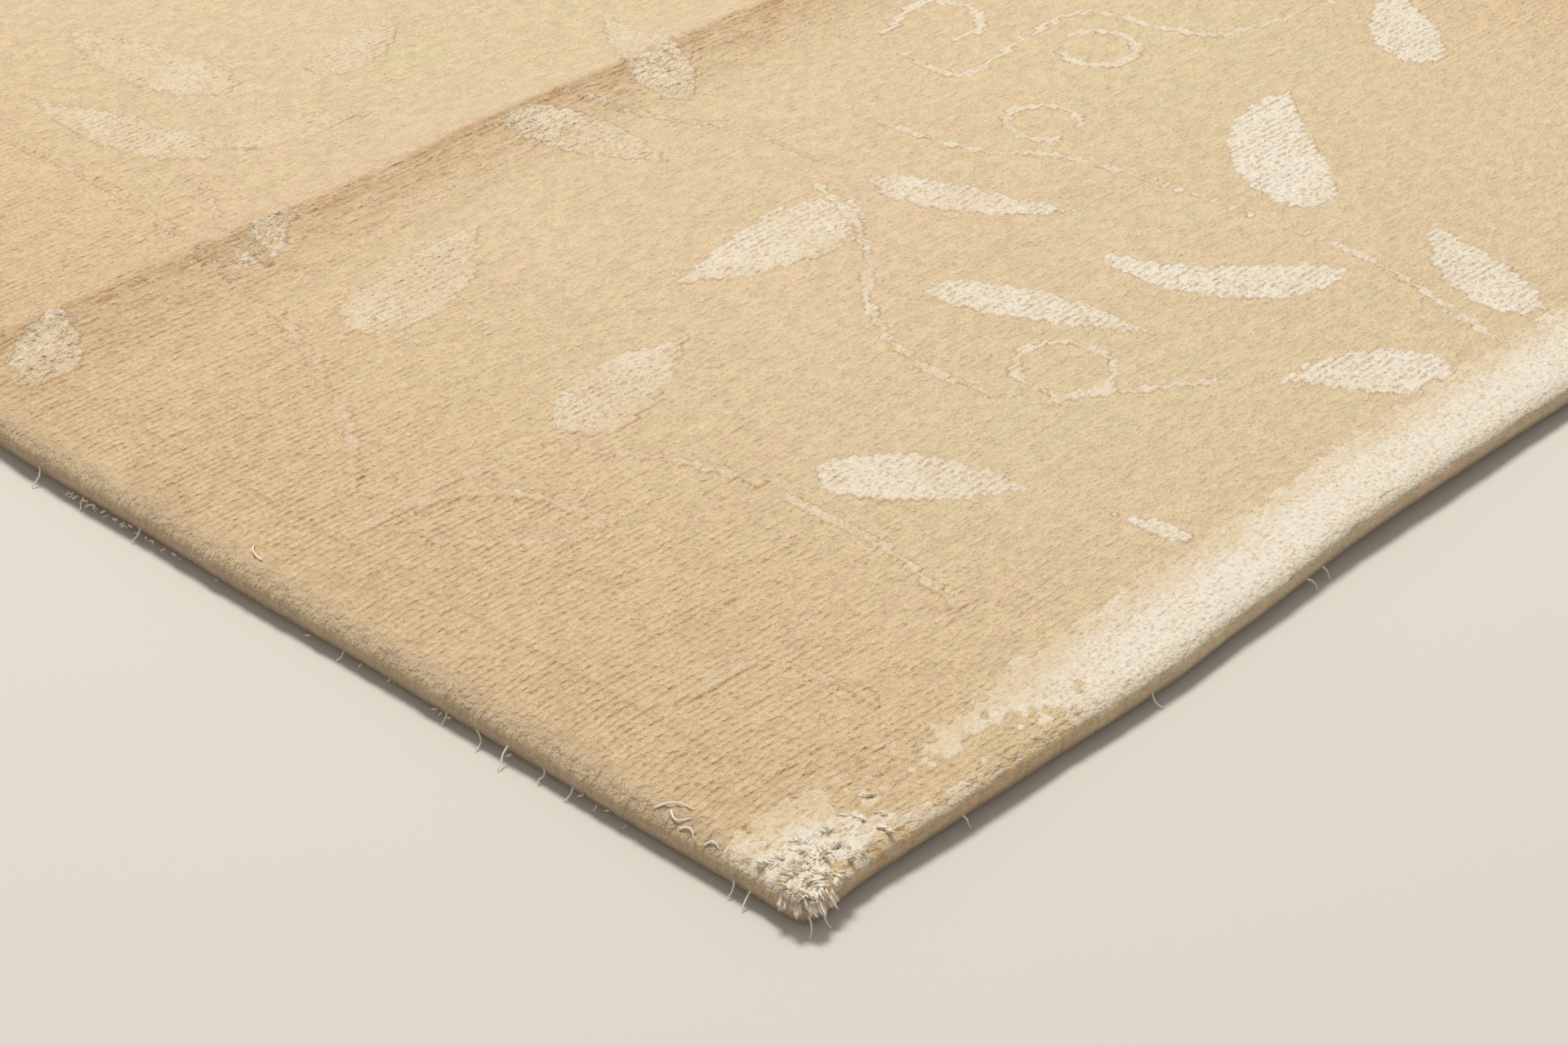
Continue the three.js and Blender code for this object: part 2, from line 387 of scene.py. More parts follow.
SAND = (0.728, 0.577, 0.368, 1)
PEACH = (0.758, 0.562, 0.366, 1)
STRAW = (0.708, 0.596, 0.352, 1)
# The brown of a crease in shade, painted into hollows and grooves
CREASE_SHADE = (0.50, 0.285, 0.12, 1)
WARM_SAND = (0.745, 0.545, 0.315, 1)
# Brown for the painted shade on the fold's near slope, and for stains near the sides
FOLD_BROWN = (0.59, 0.40, 0.215, 1)
BLOOM = (0.80, 0.70, 0.55, 1)
UNDER_BULGE_SHADE = (0.33, 0.225, 0.125, 1)
EDGE_GREY = (0.50, 0.395, 0.265, 1)
COTTON = (0.66, 0.53, 0.35, 1)
PALE_COTTON = (0.74, 0.62, 0.43, 1)
COTTON_SHADOW = (0.5, 0.42, 0.31, 1)
WARM_SHEEN = (1, 0.96, 0.9, 1)
PLAIN_SHEEN = (1, 1, 1, 1)

# The fine relief of the wool in millimetres, from single fibres up to the clumps on the fold
FIBRE_RELIEF, FLECK_RELIEF, LUMP_RELIEF, CLUMP_RELIEF = 0.4, 1.1, 1.0, 2.2
OPEN_GAP_RELIEF, BAND_LINE_RELIEF = -0.18, -0.35
# Painted shade: how far each kind of hollow is darkened towards the brown of a crease in shade
FLECK_SHADE, TUFT_SHADE, OPEN_GAP_SHADE, BAND_LINE_SHADE, CLUMP_SHADE = 0.24, 0.14, 0.45, 0.22, 0.5
# How far the rows stray from straight lines, across the rug and along it
ROW_DRIFT = (2.4, 1.7, 0)


def clipped_wool(tree):
    """The wool's colour, and the height of its fine surface in millimetres."""
    flat = flat_millimetres(tree)
    solid = node(tree, "ShaderNodeTexCoord").outputs["Object"]
    straight = node(tree, "ShaderNodeSeparateXYZ", {0: flat})
    across, along = straight.outputs["X"], straight.outputs["Y"]

    # The rows aren't quite straight: each place is read a little off
    drift = node(
        tree,
        "ShaderNodeTexNoise",
        {"Vector": stretched(tree, flat, (1 / 7, 1 / 5, 1)), "Scale": 1.0, "Detail": 2.0},
    ).outputs["Color"]
    drift = node(tree, "ShaderNodeVectorMath", {0: drift, 1: (0.5, 0.5, 0.5)}, operation="SUBTRACT")
    drift = node(
        tree, "ShaderNodeVectorMath", {0: drift.outputs[0], 1: ROW_DRIFT}, operation="MULTIPLY"
    )
    place = node(tree, "ShaderNodeVectorMath", {0: flat, 1: drift.outputs[0]}).outputs[0]
    wavy_along = node(tree, "ShaderNodeSeparateXYZ", {0: place}).outputs["Y"]

    # Gaps between rows, open in dashes
    row = maths(tree, "DIVIDE", wavy_along, ROW)
    boundary = maths(tree, "ROUND", row)
    from_gap = maths(tree, "ABSOLUTE", maths(tree, "SUBTRACT", row, boundary))
    gap = ranged(tree, from_gap, 0.3, 0.03)
    dash_place = node(
        tree,
        "ShaderNodeCombineXYZ",
        {0: maths(tree, "DIVIDE", across, 3.2), 1: maths(tree, "MULTIPLY", boundary, 5.3)},
    ).outputs[0]
    dash_noise = noise(tree, dash_place, 1.0, 1.5)

    # Single tufts, each a soft lump
    tuft = node(
        tree,
        "ShaderNodeTexVoronoi",
        {"Vector": stretched(tree, place, (1 / 2.6, 1 / ROW, 1)), "Scale": 1.0, "Randomness": 0.6},
        voronoi_dimensions="2D",
    )
    sunk = ranged(tree, tuft.outputs["Distance"], 0.12, 0.7)

    # Where rows and tufts show: patches, the fold, and more and more towards the sides
    patchy = ranged(tree, patchwork(tree, flat, 62, 30, 3.0, 0.6), 0.38, 0.66)
    from_side = maths(tree, "MINIMUM", across, maths(tree, "SUBTRACT", float(WIDTH), across))
    side_band = ranged(tree, from_side, BAND + 2.0, BAND - 2.5)
    towards_side = ranged(tree, from_side, float(SHOWN_FROM), float(SHOWN_TO))
    fold_ramp = ranged(tree, along, float(RUFFLED_FROM), float(RUFFLED_TO), smooth=False)
    on_fold = maths(
        tree,
        "MULTIPLY",
        maths(tree, "POWER", fold_ramp, RUFFLED_GROWTH),
        ranged(tree, along, FOLD_AT + 3.0, FOLD_AT - 1.5),
    )
    worked = maths(tree, "MULTIPLY_ADD", towards_side, 0.7, maths(tree, "MULTIPLY_ADD", patchy, 0.18, 0.12))
    worked = maths(tree, "MAXIMUM", worked, on_fold)
    dash = ranged(tree, maths(tree, "MULTIPLY_ADD", worked, 0.08, dash_noise), 0.48, 0.72)
    steady = maths(tree, "MULTIPLY", worked, worked)
    dash = maths(tree, "MAXIMUM", dash, maths(tree, "MULTIPLY", steady, 0.55))
    open_gap = maths(tree, "MULTIPLY", gap, maths(tree, "MULTIPLY", dash, maths(tree, "ADD", worked, 0.22)))
    open_gap = maths(tree, "MULTIPLY", open_gap, ranged(tree, from_side, 3.0, 12.0))

    fibres = noise(tree, stretched(tree, solid, (0.8, 1, 1)), 2300.0, 2.0, 0.6)
    flecks = noise(tree, stretched(tree, solid, (0.6, 1, 1)), 1050.0, 2.0, 0.55)
    lumps = noise(tree, stretched(tree, solid, (0.55, 1, 1)), 330.0, 2.0, 0.5)
    height = maths(tree, "MULTIPLY", fibres, FIBRE_RELIEF)
    height = maths(tree, "MULTIPLY_ADD", flecks, FLECK_RELIEF, height)
    height = maths(tree, "MULTIPLY_ADD", lumps, LUMP_RELIEF, height)
    height = maths(tree, "MULTIPLY_ADD", open_gap, OPEN_GAP_RELIEF, height)
    tuft_depth = maths(tree, "MULTIPLY_ADD", worked, -0.3, -0.12)
    height = maths(tree, "MULTIPLY_ADD", sunk, tuft_depth, height)
    tousled = patchwork(tree, flat, 8, 3.6, 2.0, 0.55)
    clumps = maths(tree, "MULTIPLY", on_fold, tousled)
    height = maths(tree, "MULTIPLY_ADD", clumps, CLUMP_RELIEF, height)
    # A line of wider gaps runs along each side, where the turned edge begins
    beside_band = maths(tree, "ABSOLUTE", maths(tree, "SUBTRACT", from_side, float(BAND)))
    band_line = maths(tree, "MULTIPLY", ranged(tree, beside_band, 1.8, 0.3), ranged(tree, lumps, 0.35, 0.6))
    height = maths(tree, "MULTIPLY_ADD", band_line, BAND_LINE_RELIEF, height)

    # Each batch of dyed wool differs a little, in streaks along the rows
    broad = patchwork(tree, flat, 170, 60, 2.0)
    streaks = patchwork(tree, flat, 30, 5, 3.0, 0.6)
    yarns = patchwork(tree, flat, 7, 2.4, 1.0)
    batch = maths(tree, "MULTIPLY_ADD", streaks, 0.45, maths(tree, "MULTIPLY", broad, 0.3))
    batch = maths(tree, "MULTIPLY_ADD", yarns, 0.25, batch)
    colour = mixed(tree, ranged(tree, batch, 0.4, 0.6), STRAW, PEACH)
    colour = mixed(tree, 0.3, colour, SAND)
    # Browner towards both sides: partly the wool's own colour, partly painted shade
    warm = maths(tree, "MULTIPLY_ADD", side_band, 0.15, maths(tree, "MULTIPLY", towards_side, 0.7))
    colour = mixed(tree, warm, colour, WARM_SAND)
    # The fold's near slope is painted browner in patches, as shade where it turns from the light; the worn
    # sides bloom paler in places and are stained in others
    fold_shade_patches = patchwork(tree, flat, 16, 7, 3.0, 0.6)
    fold_shade_patches = ranged(tree, fold_shade_patches, 0.35, 0.65, 0.25, 0.85)
    colour = mixed(tree, maths(tree, "MULTIPLY", on_fold, fold_shade_patches), colour, FOLD_BROWN)
    frayed = patchwork(tree, flat, 11, 6, 3.0, 0.7)
    bloom = maths(tree, "MULTIPLY", ranged(tree, frayed, 0.5, 0.75), ranged(tree, from_side, 70.0, 5.0))
    bloom = maths(tree, "MULTIPLY", bloom, ranged(tree, flecks, 0.4, 0.65))
    colour = mixed(tree, maths(tree, "MULTIPLY", bloom, 0.6), colour, BLOOM)
    stain = patchwork(tree, flat, 22, 30, 3.0, 0.6)
    stain = maths(tree, "MULTIPLY", ranged(tree, stain, 0.48, 0.68), ranged(tree, from_side, 34.0, 6.0))
    colour = mixed(tree, maths(tree, "MULTIPLY", stain, 0.55), colour, FOLD_BROWN)
    rolled = ranged(tree, from_side, 10.0, 2.0, 0.0, 0.6)
    colour = mixed(tree, rolled, colour, EDGE_GREY)
    # Painted shade: hollows of every kind are darkened, where shade falls between the rows and tufts
    low_fleck = ranged(tree, flecks, 0.52, 0.32)
    hollow_shade = maths(tree, "MULTIPLY", low_fleck, maths(tree, "MULTIPLY_ADD", worked, 0.06, FLECK_SHADE))
    hollow_shade = maths(tree, "MULTIPLY_ADD", open_gap, OPEN_GAP_SHADE, hollow_shade)
    hollow_shade = maths(tree, "MULTIPLY_ADD", band_line, BAND_LINE_SHADE, hollow_shade)
    between_clumps = maths(tree, "MULTIPLY", on_fold, ranged(tree, tousled, 0.52, 0.3))
    hollow_shade = maths(tree, "MULTIPLY_ADD", between_clumps, CLUMP_SHADE, hollow_shade)
    hollow_shade = maths(tree, "MULTIPLY_ADD", maths(tree, "MULTIPLY", sunk, worked), TUFT_SHADE, hollow_shade)
    colour = mixed(tree, hollow_shade, colour, CREASE_SHADE)
    # Painted light and shade: the felted lumps are painted lighter where they stand higher and darker
    # between
    light = ranged(tree, lumps, 0.3, 0.7, 0.94, 1.07)
    grey = node(tree, "ShaderNodeCombineColor", {0: light, 1: light, 2: light}).outputs[0]
    colour = mixed(tree, 1.0, colour, grey, "MULTIPLY")
    # Painted shade: the edge darkens down from its bulge towards the floor, where it turns away from the
    # light
    low = node(tree, "ShaderNodeAttribute", attribute_name="low").outputs["Fac"]
    colour = mixed(tree, maths(tree, "MULTIPLY", low, 0.75), colour, UNDER_BULGE_SHADE)
    return colour, height


def wool():
    made, tree, shader = new_material("sand wool pile", 0.92, 0.35, 0.5, WARM_SHEEN, 0.15)
    colour, height = clipped_wool(tree)
    pressed(tree, shader, height)
    tree.links.new(colour, shader.inputs["Base Color"])
    return made


def cotton_back():
    made, tree, shader = new_material("cotton foundation", 0.95, 0.1, 0.6, PLAIN_SHEEN, 0.15)
    place = flat_millimetres(tree)
    axes = node(tree, "ShaderNodeSeparateXYZ", {0: place})
    row = maths(tree, "PINGPONG", maths(tree, "DIVIDE", axes.outputs["Y"], ROW), 0.5)
    knot = maths(tree, "PINGPONG", maths(tree, "DIVIDE", axes.outputs["X"], KNOT), 0.5)
    bead = maths(tree, "MULTIPLY", ranged(tree, row, 0.05, 0.4), ranged(tree, knot, 0.0, 0.35, 0.35, 1.0))
    yarn = patchwork(tree, place, 1.1, 0.6, 2.0)
    pressed(tree, shader, maths(tree, "MULTIPLY_ADD", yarn, 0.2, maths(tree, "MULTIPLY", bead, 0.7)))
    colour = mixed(tree, patchwork(tree, place, 60, 9, 3.0), COTTON, PALE_COTTON)
    colour = mixed(tree, ranged(tree, bead, 0.5, 0.0), colour, COTTON_SHADOW)
    tree.links.new(colour, shader.inputs["Base Color"])
    return made


cloth_mesh = bpy.data.meshes.new("rug_cloth")
cloth_mesh.from_pydata(((points + CORNER) * MM).tolist(), [], pile_faces + under_faces)
sand_wool, foundation = wool(), cotton_back()
cloth_mesh.materials.append(sand_wool)
cloth_mesh.materials.append(foundation)
of_under = np.zeros(len(cloth_mesh.polygons), np.int32)
of_under[len(pile_faces):] = 1
cloth_mesh.polygons.foreach_set("material_index", of_under)
# How far down the edge each point is, for the painted shade in the wool's colour: it darkens under the
# bulge, where the edge faces down to the floor
BULGE_SHADE = 0.12
edge_shade = np.zeros(len(points), np.float32)
edge_shade[rim_top] = BULGE_SHADE
edge_shade[foundation_ring] = 1
edge_shade_layer = cloth_mesh.attributes.new("low", "FLOAT", "POINT")
edge_shade_layer.data.foreach_set("value", edge_shade)


def lay_flat_map(mesh, places):
    """Maps each point of a mesh to its place on the squared-up rug."""
    corner_of = np.zeros(len(mesh.loops), np.int32)
    mesh.loops.foreach_get("vertex_index", corner_of)
    flat_map = mesh.uv_layers.new(name="flat")
    flat_map.data.foreach_set("uv", (places[corner_of] / [WIDTH, LENGTH]).astype(np.float32).ravel())


lay_flat_map(cloth_mesh, flat_places)
# Where the two rings turn a corner, many of their points fall on one place: these become one
SAME_PLACE = 0.001
welded = bmesh.new()
welded.from_mesh(cloth_mesh)
bmesh.ops.remove_doubles(welded, verts=welded.verts, dist=SAME_PLACE * MM)
welded.to_mesh(cloth_mesh)
welded.free()
cloth_mesh.shade_smooth()
cloth = new_piece("rug_cloth", cloth_mesh)
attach(cloth, "root")
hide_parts("rug")

# The silk pattern: two bands along the ends, and leaves on thin curling stems. Each is tied in the
# same rows as the wool, knot by knot, so that its edges step, and clipped a little higher. It is
# painted paler than the ground towards the right side of the rug and almost like it towards the
# left: partly its dye, partly painted sheen, where the silk catches the light.
rng = np.random.default_rng(31)
knot_x, knot_y = np.meshgrid((np.arange(KNOTS_A_ROW) + 0.5) * KNOT, (np.arange(ROWS) + 0.5) * ROW)
lying_x, lying_y = np.moveaxis(laid(knot_x, knot_y, 0)[..., :2], -1, 0)
tone = np.full(knot_x.shape, np.nan)
height_of = np.zeros(knot_x.shape)
LEAF_HEIGHT, STEM_HEIGHT, BAND_HEIGHT = 0.3, 0.2, 0.3


def curve_through(stops, steps=12):
    """A smooth line through the stops, as an array of points."""
    stops = np.array(stops, float)
    ends = np.concatenate([[2 * stops[0] - stops[1]], stops, [2 * stops[-1] - stops[-2]]])
    t = np.linspace(0, 1, steps, endpoint=False)[:, None]
    line = []
    for a, b, c, d in zip(ends, ends[1:], ends[2:], ends[3:]):
        curved = (2 * a - 5 * b + 4 * c - d) * t * t + (3 * b - a - 3 * c + d) * t ** 3
        line.append((2 * b + (c - a) * t + curved) / 2)
    line.append(stops[-1:])
    return np.concatenate(line)


def nearest_on(line, reach):
    """The knots within reach of a line: their rows and columns, distances and places along it."""
    low, high = line.min(axis=0) - reach, line.max(axis=0) + reach
    near = (lying_x > low[0]) & (lying_x < high[0]) & (lying_y > low[1]) & (lying_y < high[1])
    picked = np.argwhere(near)
    gaps = np.hypot(lying_x[near][:, None] - line[:, 0], lying_y[near][:, None] - line[:, 1])
    best = gaps.argmin(axis=1)
    return picked, gaps[np.arange(len(best)), best], best / (len(line) - 1)


def tie(picked, chosen, shade, height):
    tone[picked[chosen, 0], picked[chosen, 1]] = shade
    height_of[picked[chosen, 0], picked[chosen, 1]] = height


# A leaf runs from its root to its tip, and bends to its left by so much. Its shade is how pale
# its silk is painted: partly dye, partly painted sheen, paler towards the right side.
Leaf = namedtuple("Leaf", "root tip width bend shade")
LEAVES = [
    Leaf((249, 218), (177, 219), 29, 3, 0.4),
    Leaf((264, 224), (291, 165), 18, -4, 0.5),
    Leaf((224, 166), (249, 102), 18, 3, 0.7),
    Leaf((317, 85), (276, 146), 20, 14, 0.9),
    Leaf((345, 112), (404, 168), 30, 11, 0.9),
    Leaf((128, 119), (163, 75), 24, 3, 0.55),
    Leaf((99, 182), (156, 195), 26, 3, 0.2),
    Leaf((93, 269), (159, 289), 28, -4, 0.05),
    Leaf((210, 333), (227, 276), 24, 4, 0.2),
    Leaf((93, 315), (127, 333), 14, 2, 0.15),
    Leaf((14, 308), (41, 335), 20, 0, 0.0),
    Leaf((259, 304), (286, 369), 22, -4, 0.15),
    Leaf((166, 413), (157, 490), 26, 4, 0.0),
    Leaf((191, 404), (239, 420), 20, -3, 0.0),
    Leaf((134, 382), (116, 455), 22, 3, 0.0),
    Leaf((139, 382), (185, 369), 16, 3, 0.0),
    Leaf((291, 26), (255, 59), 24, -3, 0.75),
    Leaf((335, 29), (360, 82), 22, 4, 0.85),
    Leaf((450, 146), (490, 186), 24, 4, 0.9),
    Leaf((174, 29), (171, 51), 8, 0, 0.7),
    Leaf((520, 60), (470, 105), 22, -4, 0.95),
    Leaf((560, 90), (530, 150), 24, 4, 1.0),
    Leaf((455, 300), (515, 330), 22, 3, 0.9),
    Leaf((560, 250), (535, 310), 24, -4, 0.95),
    Leaf((430, 380), (400, 440), 24, 4, 0.7),
]
STEM_HALF_WIDTH = 2.1
# A leaf is widest a little past a third of its length, where this brings its formula to 1
LEAF_FULLNESS = 2.49


def tie_leaf(leaf, outline=False):
    root, tip = np.array(leaf.root, float), np.array(leaf.tip, float)
    run = tip - root
    left = np.array([-run[1], run[0]]) / np.hypot(*run)
    t = np.linspace(0, 1, 33)[:, None]
    spine = root + run * t + left * leaf.bend * 4 * t * (1 - t)
    picked, gap, t = nearest_on(spine, leaf.width)
    half_width = leaf.width / 2 * LEAF_FULLNESS * np.sqrt(t) * (1 - t) ** 0.9
    if outline:
        tie(picked, np.abs(gap - half_width) < STEM_HALF_WIDTH, leaf.shade, STEM_HEIGHT)
    else:
        tie(picked, gap < np.maximum(half_width, 1.0), leaf.shade, LEAF_HEIGHT)


Stem = namedtuple("Stem", "stops shade")
STEMS = [
    Stem([(235, 333), (249, 296), (259, 276), (262, 237)], 0.5),
    Stem([(294, 247), (301, 212), (315, 193), (322, 160), (328, 90), (321, 50), (315, 31)], 0.8),
    Stem([(229, 193), (205, 170), (193, 145), (193, 120), (200, 102), (210, 95), (242, 73)], 0.7),
    Stem([(337, 276), (335, 257), (345, 251), (399, 255), (411, 227), (423, 208), (477, 196)], 0.9),
    Stem([(345, 291), (369, 298), (379, 284), (369, 271), (357, 271)], 0.8),
    Stem([(24, 188), (66, 188), (95, 178)], 0.3),
    Stem([(90, 183), (108, 154), (116, 129)], 0.4),
    Stem([(116, 119), (117, 85), (110, 53)], 0.55),
    Stem([(36, 75), (56, 73), (63, 61), (66, 41)], 0.25),
    Stem([(88, 333), (85, 296), (80, 276), (61, 232), (39, 203)], 0.3),
    Stem([(95, 433), (97, 384), (92, 335)], 0.25),
    Stem([(119, 369), (105, 340), (100, 315)], 0.3),
    Stem([(229, 193), (242, 212), (249, 232)], 0.7),
]

# Curls: parts of a circle at the end of a stem
Curl = namedtuple("Curl", "centre radius start sweep shade")
CURLS = [
    Curl((330, 210), 12, -60, 300, 0.85),
    Curl((218, 108), 14, 200, 330, 0.8),
    Curl((384, 232), 13, 90, -300, 0.9),
]

# Beyond what the view shows the vines go on in longer sprays, with a leaf to each side in turn
SPRAYS = [
    [(60, 500), (100, 580), (90, 660), (140, 740), (200, 800), (210, 870)],
    [(300, 470), (330, 540), (290, 620), (330, 700), (400, 760), (420, 850)],
    [(560, 500), (520, 580), (540, 660), (480, 740), (520, 830)],
    [(490, 186), (520, 230), (530, 300), (515, 360), (500, 420)],
]
LEAF_EVERY, LEAF_ANGLE, SPRAY_SHADE = 62, 48, 0.5
STALK, SPRAY_LEAF, SPRAY_LEAF_WIDTH, SPRAY_LEAF_BEND = 3, 56, 22, 4
FIRST_SPRAY_LEAF = len(LEAVES)
for stops in SPRAYS:
    line = curve_through(stops, 24)
    STEMS.append(Stem(stops, SPRAY_SHADE))
    gone = np.concatenate([[0], np.cumsum(np.hypot(*np.diff(line, axis=0).T))])
    for count, place in enumerate(np.arange(LEAF_EVERY / 2, gone[-1], LEAF_EVERY)):
        k = min(int(np.searchsorted(gone, place)), len(line) - 2)
        ahead = math.atan2(*(line[k + 1] - line[k])[::-1])
        side = 1 if count % 2 else -1
        turned = ahead + side * math.radians(LEAF_ANGLE)
        towards = np.array([math.cos(turned), math.sin(turned)])
        root, tip = line[k] + STALK * towards, line[k] + SPRAY_LEAF * towards
        LEAVES.append(Leaf(root, tip, SPRAY_LEAF_WIDTH, SPRAY_LEAF_BEND * side, SPRAY_SHADE))

for leaf in LEAVES[FIRST_SPRAY_LEAF:]:
    tie_leaf(leaf)
of_spray = ~np.isnan(tone)
for leaf in LEAVES[:FIRST_SPRAY_LEAF]:
    tie_leaf(leaf)
# One leaf is tied as a bare outline
tie_leaf(Leaf((41, 183), (75, 137), 24, 3, 0.0), outline=True)
lines = [(curve_through(stem.stops), stem.shade) for stem in STEMS]
for curl in CURLS:
    angles = np.radians(curl.start + np.linspace(0, curl.sweep, 40))
    arc = np.stack([np.cos(angles), np.sin(angles)], -1) * curl.radius + curl.centre
    lines.append((arc, curl.shade))
for line, shade in lines:
    picked, gap, t = nearest_on(line, STEM_HALF_WIDTH)
    tie(picked, gap < STEM_HALF_WIDTH, 0.8 * shade - 0.25, STEM_HEIGHT)

# The end bands: full at the end, with a ragged inner edge
END_BAND = 31
from_end = np.minimum(knot_y, LENGTH - knot_y)
ragged = END_BAND - 4 + 3 * uneven(knot_x, knot_y, 40, 60, 41) + 2 * rng.uniform(-1, 1, knot_x.shape)
patches = uneven(knot_x, knot_y, 22, 9, 42) + 0.4 * rng.uniform(-1, 1, knot_x.shape)
worn = soft_step(130 - knot_x, 0, 60) * soft_step(knot_x, 16, 34) * np.where(knot_y < LENGTH / 2, 1, 0)
in_band = (from_end < ragged) & (patches > 1.6 * worn - 1.4)
# Further in the band is mixed with sand-coloured silk
fading = soft_step(from_end, 11, 25)
streaky = 0.9 + 0.35 * uneven(knot_x, knot_y, 12, 3, 44)
mixed_in = fading * streaky + 0.15 * rng.uniform(-1, 1, knot_x.shape)
mixed_in = mixed_in + 0.35 * (1 - soft_step(from_end, 1, 6))
tone[in_band] = (1 - mixed_in - 0.5 * worn)[in_band]
height_of[in_band] = (BAND_HEIGHT * (1 - 0.7 * fading))[in_band]
tone += np.where(in_band, 0.12, 0.25) * uneven(knot_x, knot_y, 14, 10, 43)


def on_pile(x, y, lift):
    """Places on the top of the pile, with the direction out of it."""
    def surface(x, y):
        return laid(x, y, off_floor(x, y) + pile_height(x, y) + unevenness(x, y))

    step = 0.1
    here = surface(x, y)
    run = surface(np.minimum(x + step, WIDTH), y) - surface(np.maximum(x - step, 0), y)
    up = surface(x, np.minimum(y + step, LENGTH)) - surface(x, np.maximum(y - step, 0))
    out = np.cross(run, up)
    out /= np.linalg.norm(out, axis=-1, keepdims=True)
    run /= np.linalg.norm(run, axis=-1, keepdims=True)
    return here + out * np.asarray(lift)[..., None], out, run


CREAM = (0.795, 0.735, 0.62, 1)
LOOSE_CREAM = (0.865, 0.79, 0.665, 1)
SAND_SILK = (0.69, 0.54, 0.34, 1)
# The silk in shade, painted into its hollows and low flecks
SHADED_SILK = (0.54, 0.375, 0.21, 1)


def silk():
    """Silk where the map "silk" says so, and wool beyond it, so that the two felt into each other."""
    made, tree, shader = new_material("lustrous silk pile", 0.6, 0.35, 0.45, WARM_SHEEN, 0.3)
    solid = node(tree, "ShaderNodeTexCoord").outputs["Object"]
    maps = {}
    for label in ("silk", "shade", "hollow", "groove"):
        maps[label] = node(tree, "ShaderNodeAttribute", attribute_name=label).outputs["Fac"]
    wool_colour, wool_height = clipped_wool(tree)
    strands = noise(tree, stretched(tree, solid, (1.0, 0.5, 1.0)), 2600.0, 2.0, 0.6)
    flecks = noise(tree, stretched(tree, solid, (0.8, 1, 1)), 900.0, 2.5, 0.6)
    frayed = noise(tree, stretched(tree, solid, (0.6, 1, 1)), 760.0, 2.0, 0.6)
    share = maths(tree, "MULTIPLY_ADD", maths(tree, "SUBTRACT", frayed, 0.5), 1.1, maps["silk"])
    share = ranged(tree, share, 0.1, 0.95)
    hollow = maths(tree, "MULTIPLY_ADD", maths(tree, "SUBTRACT", flecks, 0.5), -1.6, maps["hollow"])
    hollow = ranged(tree, hollow, 0.2, 1.1)

    silk_height = maths(tree, "MULTIPLY_ADD", flecks, 0.7, maths(tree, "MULTIPLY", strands, 0.16))
    silk_height = maths(tree, "MULTIPLY_ADD", hollow, -0.2, silk_height)
    inputs = {"Factor": share, "A": wool_height, "B": silk_height}
    pressed(tree, shader, node(tree, "ShaderNodeMix", inputs, data_type="FLOAT").outputs["Result"])
    # Partly the silk's own mottled tone, partly painted light and shade: it is painted paler on the raised
    # flecks and darker towards the shaded silk in low flecks and hollows
    mottling = maths(tree, "MULTIPLY_ADD", maps["shade"], 2.2, 1.3)
    bright = maths(tree, "MULTIPLY_ADD", maths(tree, "SUBTRACT", flecks, 0.5), mottling, maps["shade"])
    colour = mixed(tree, ranged(tree, bright, -0.1, 1.2, smooth=False), SAND_SILK, CREAM)
    hollow_shade = ranged(tree, flecks, 0.5, 0.28, 0.0, 0.34)
    hollow_shade = maths(tree, "MULTIPLY_ADD", hollow, 0.36, hollow_shade)
    colour = mixed(tree, hollow_shade, colour, SHADED_SILK)
    colour = mixed(tree, share, wool_colour, colour)
    # Painted shadow: the groove round a leaf is darkened brown in patches, most on its near side, where the
    # raised edge shades it
    patches = patchwork(tree, flat_millimetres(tree), 12, 9, 2.0, 0.6)
    patches = maths(tree, "MULTIPLY", ranged(tree, patches, 0.34, 0.56), ranged(tree, frayed, 0.3, 0.55))
    groove = maths(tree, "MULTIPLY", maps["groove"], patches)
    colour = mixed(tree, groove, colour, CREASE_SHADE)
    tree.links.new(colour, shader.inputs["Base Color"])
    return made


def loose_silk():
    """Single fibres and yarn ends of the same silk, each too thin to have a surface of its own."""
    made, tree, shader = new_material("loose silk", 0.6, 0.35, 0.45, WARM_SHEEN, 0.3)
    shade = node(tree, "ShaderNodeAttribute", attribute_name="shade").outputs["Fac"]
    colour = mixed(tree, ranged(tree, shade, 0.0, 1.0, smooth=False), SAND_SILK, LOOSE_CREAM)
    tree.links.new(colour, shader.inputs["Base Color"])
    return made


def number_layer(mesh, label, values):
    layer = mesh.attributes.new(label, "FLOAT", "POINT")
    layer.data.foreach_set("value", np.asarray(values, np.float32).ravel())


# The surface of the silk has two stations across each knot and three along it: one low between
# two rows and two high on the row. All round it goes on a little way, down into the wool.
SUB_X, SUB_Y = 2, 3
fine_x, fine_y = np.meshgrid(
    np.arange(KNOTS_A_ROW * SUB_X + 1) * KNOT / SUB_X, np.arange(ROWS * SUB_Y + 1) * ROW / SUB_Y
)
between_rows = (np.arange(ROWS * SUB_Y + 1) % SUB_Y == 0)[:, None]
between_knots = (np.arange(KNOTS_A_ROW * SUB_X + 1) % SUB_X == 0)[None, :]
# At its border the skin dips under the wool, and its underside lies lower still
BORDER_DIP, SILK_DEPTH = 0.35, 0.7


def grown(cells):
    """The cells, with every cell that touches one of them."""
    wide = np.pad(cells, 1)
    wide = wide[1:] | wide[:-1]
    wide = wide[1:] | wide[:-1]
    wide = wide[:, 1:] | wide[:, :-1]
    return wide[:, 1:] | wide[:, :-1]


def round_stations(cells):
    """At each fine station, the sum over the four cells round it."""
    wide = np.pad(cells.astype(float), 1)
    return wide[:-1, :-1] + wide[1:, :-1] + wide[:-1, 1:] + wide[1:, 1:]


def crushed_here(x, y):
    """How much the silk is crushed, from 0 to 1: at the corner and up the fold."""
    at_corner = 1 - soft_step(np.hypot(x / 1.6, y), 8, 34)
    return np.maximum(at_corner, 0.8 * ruffled(y))


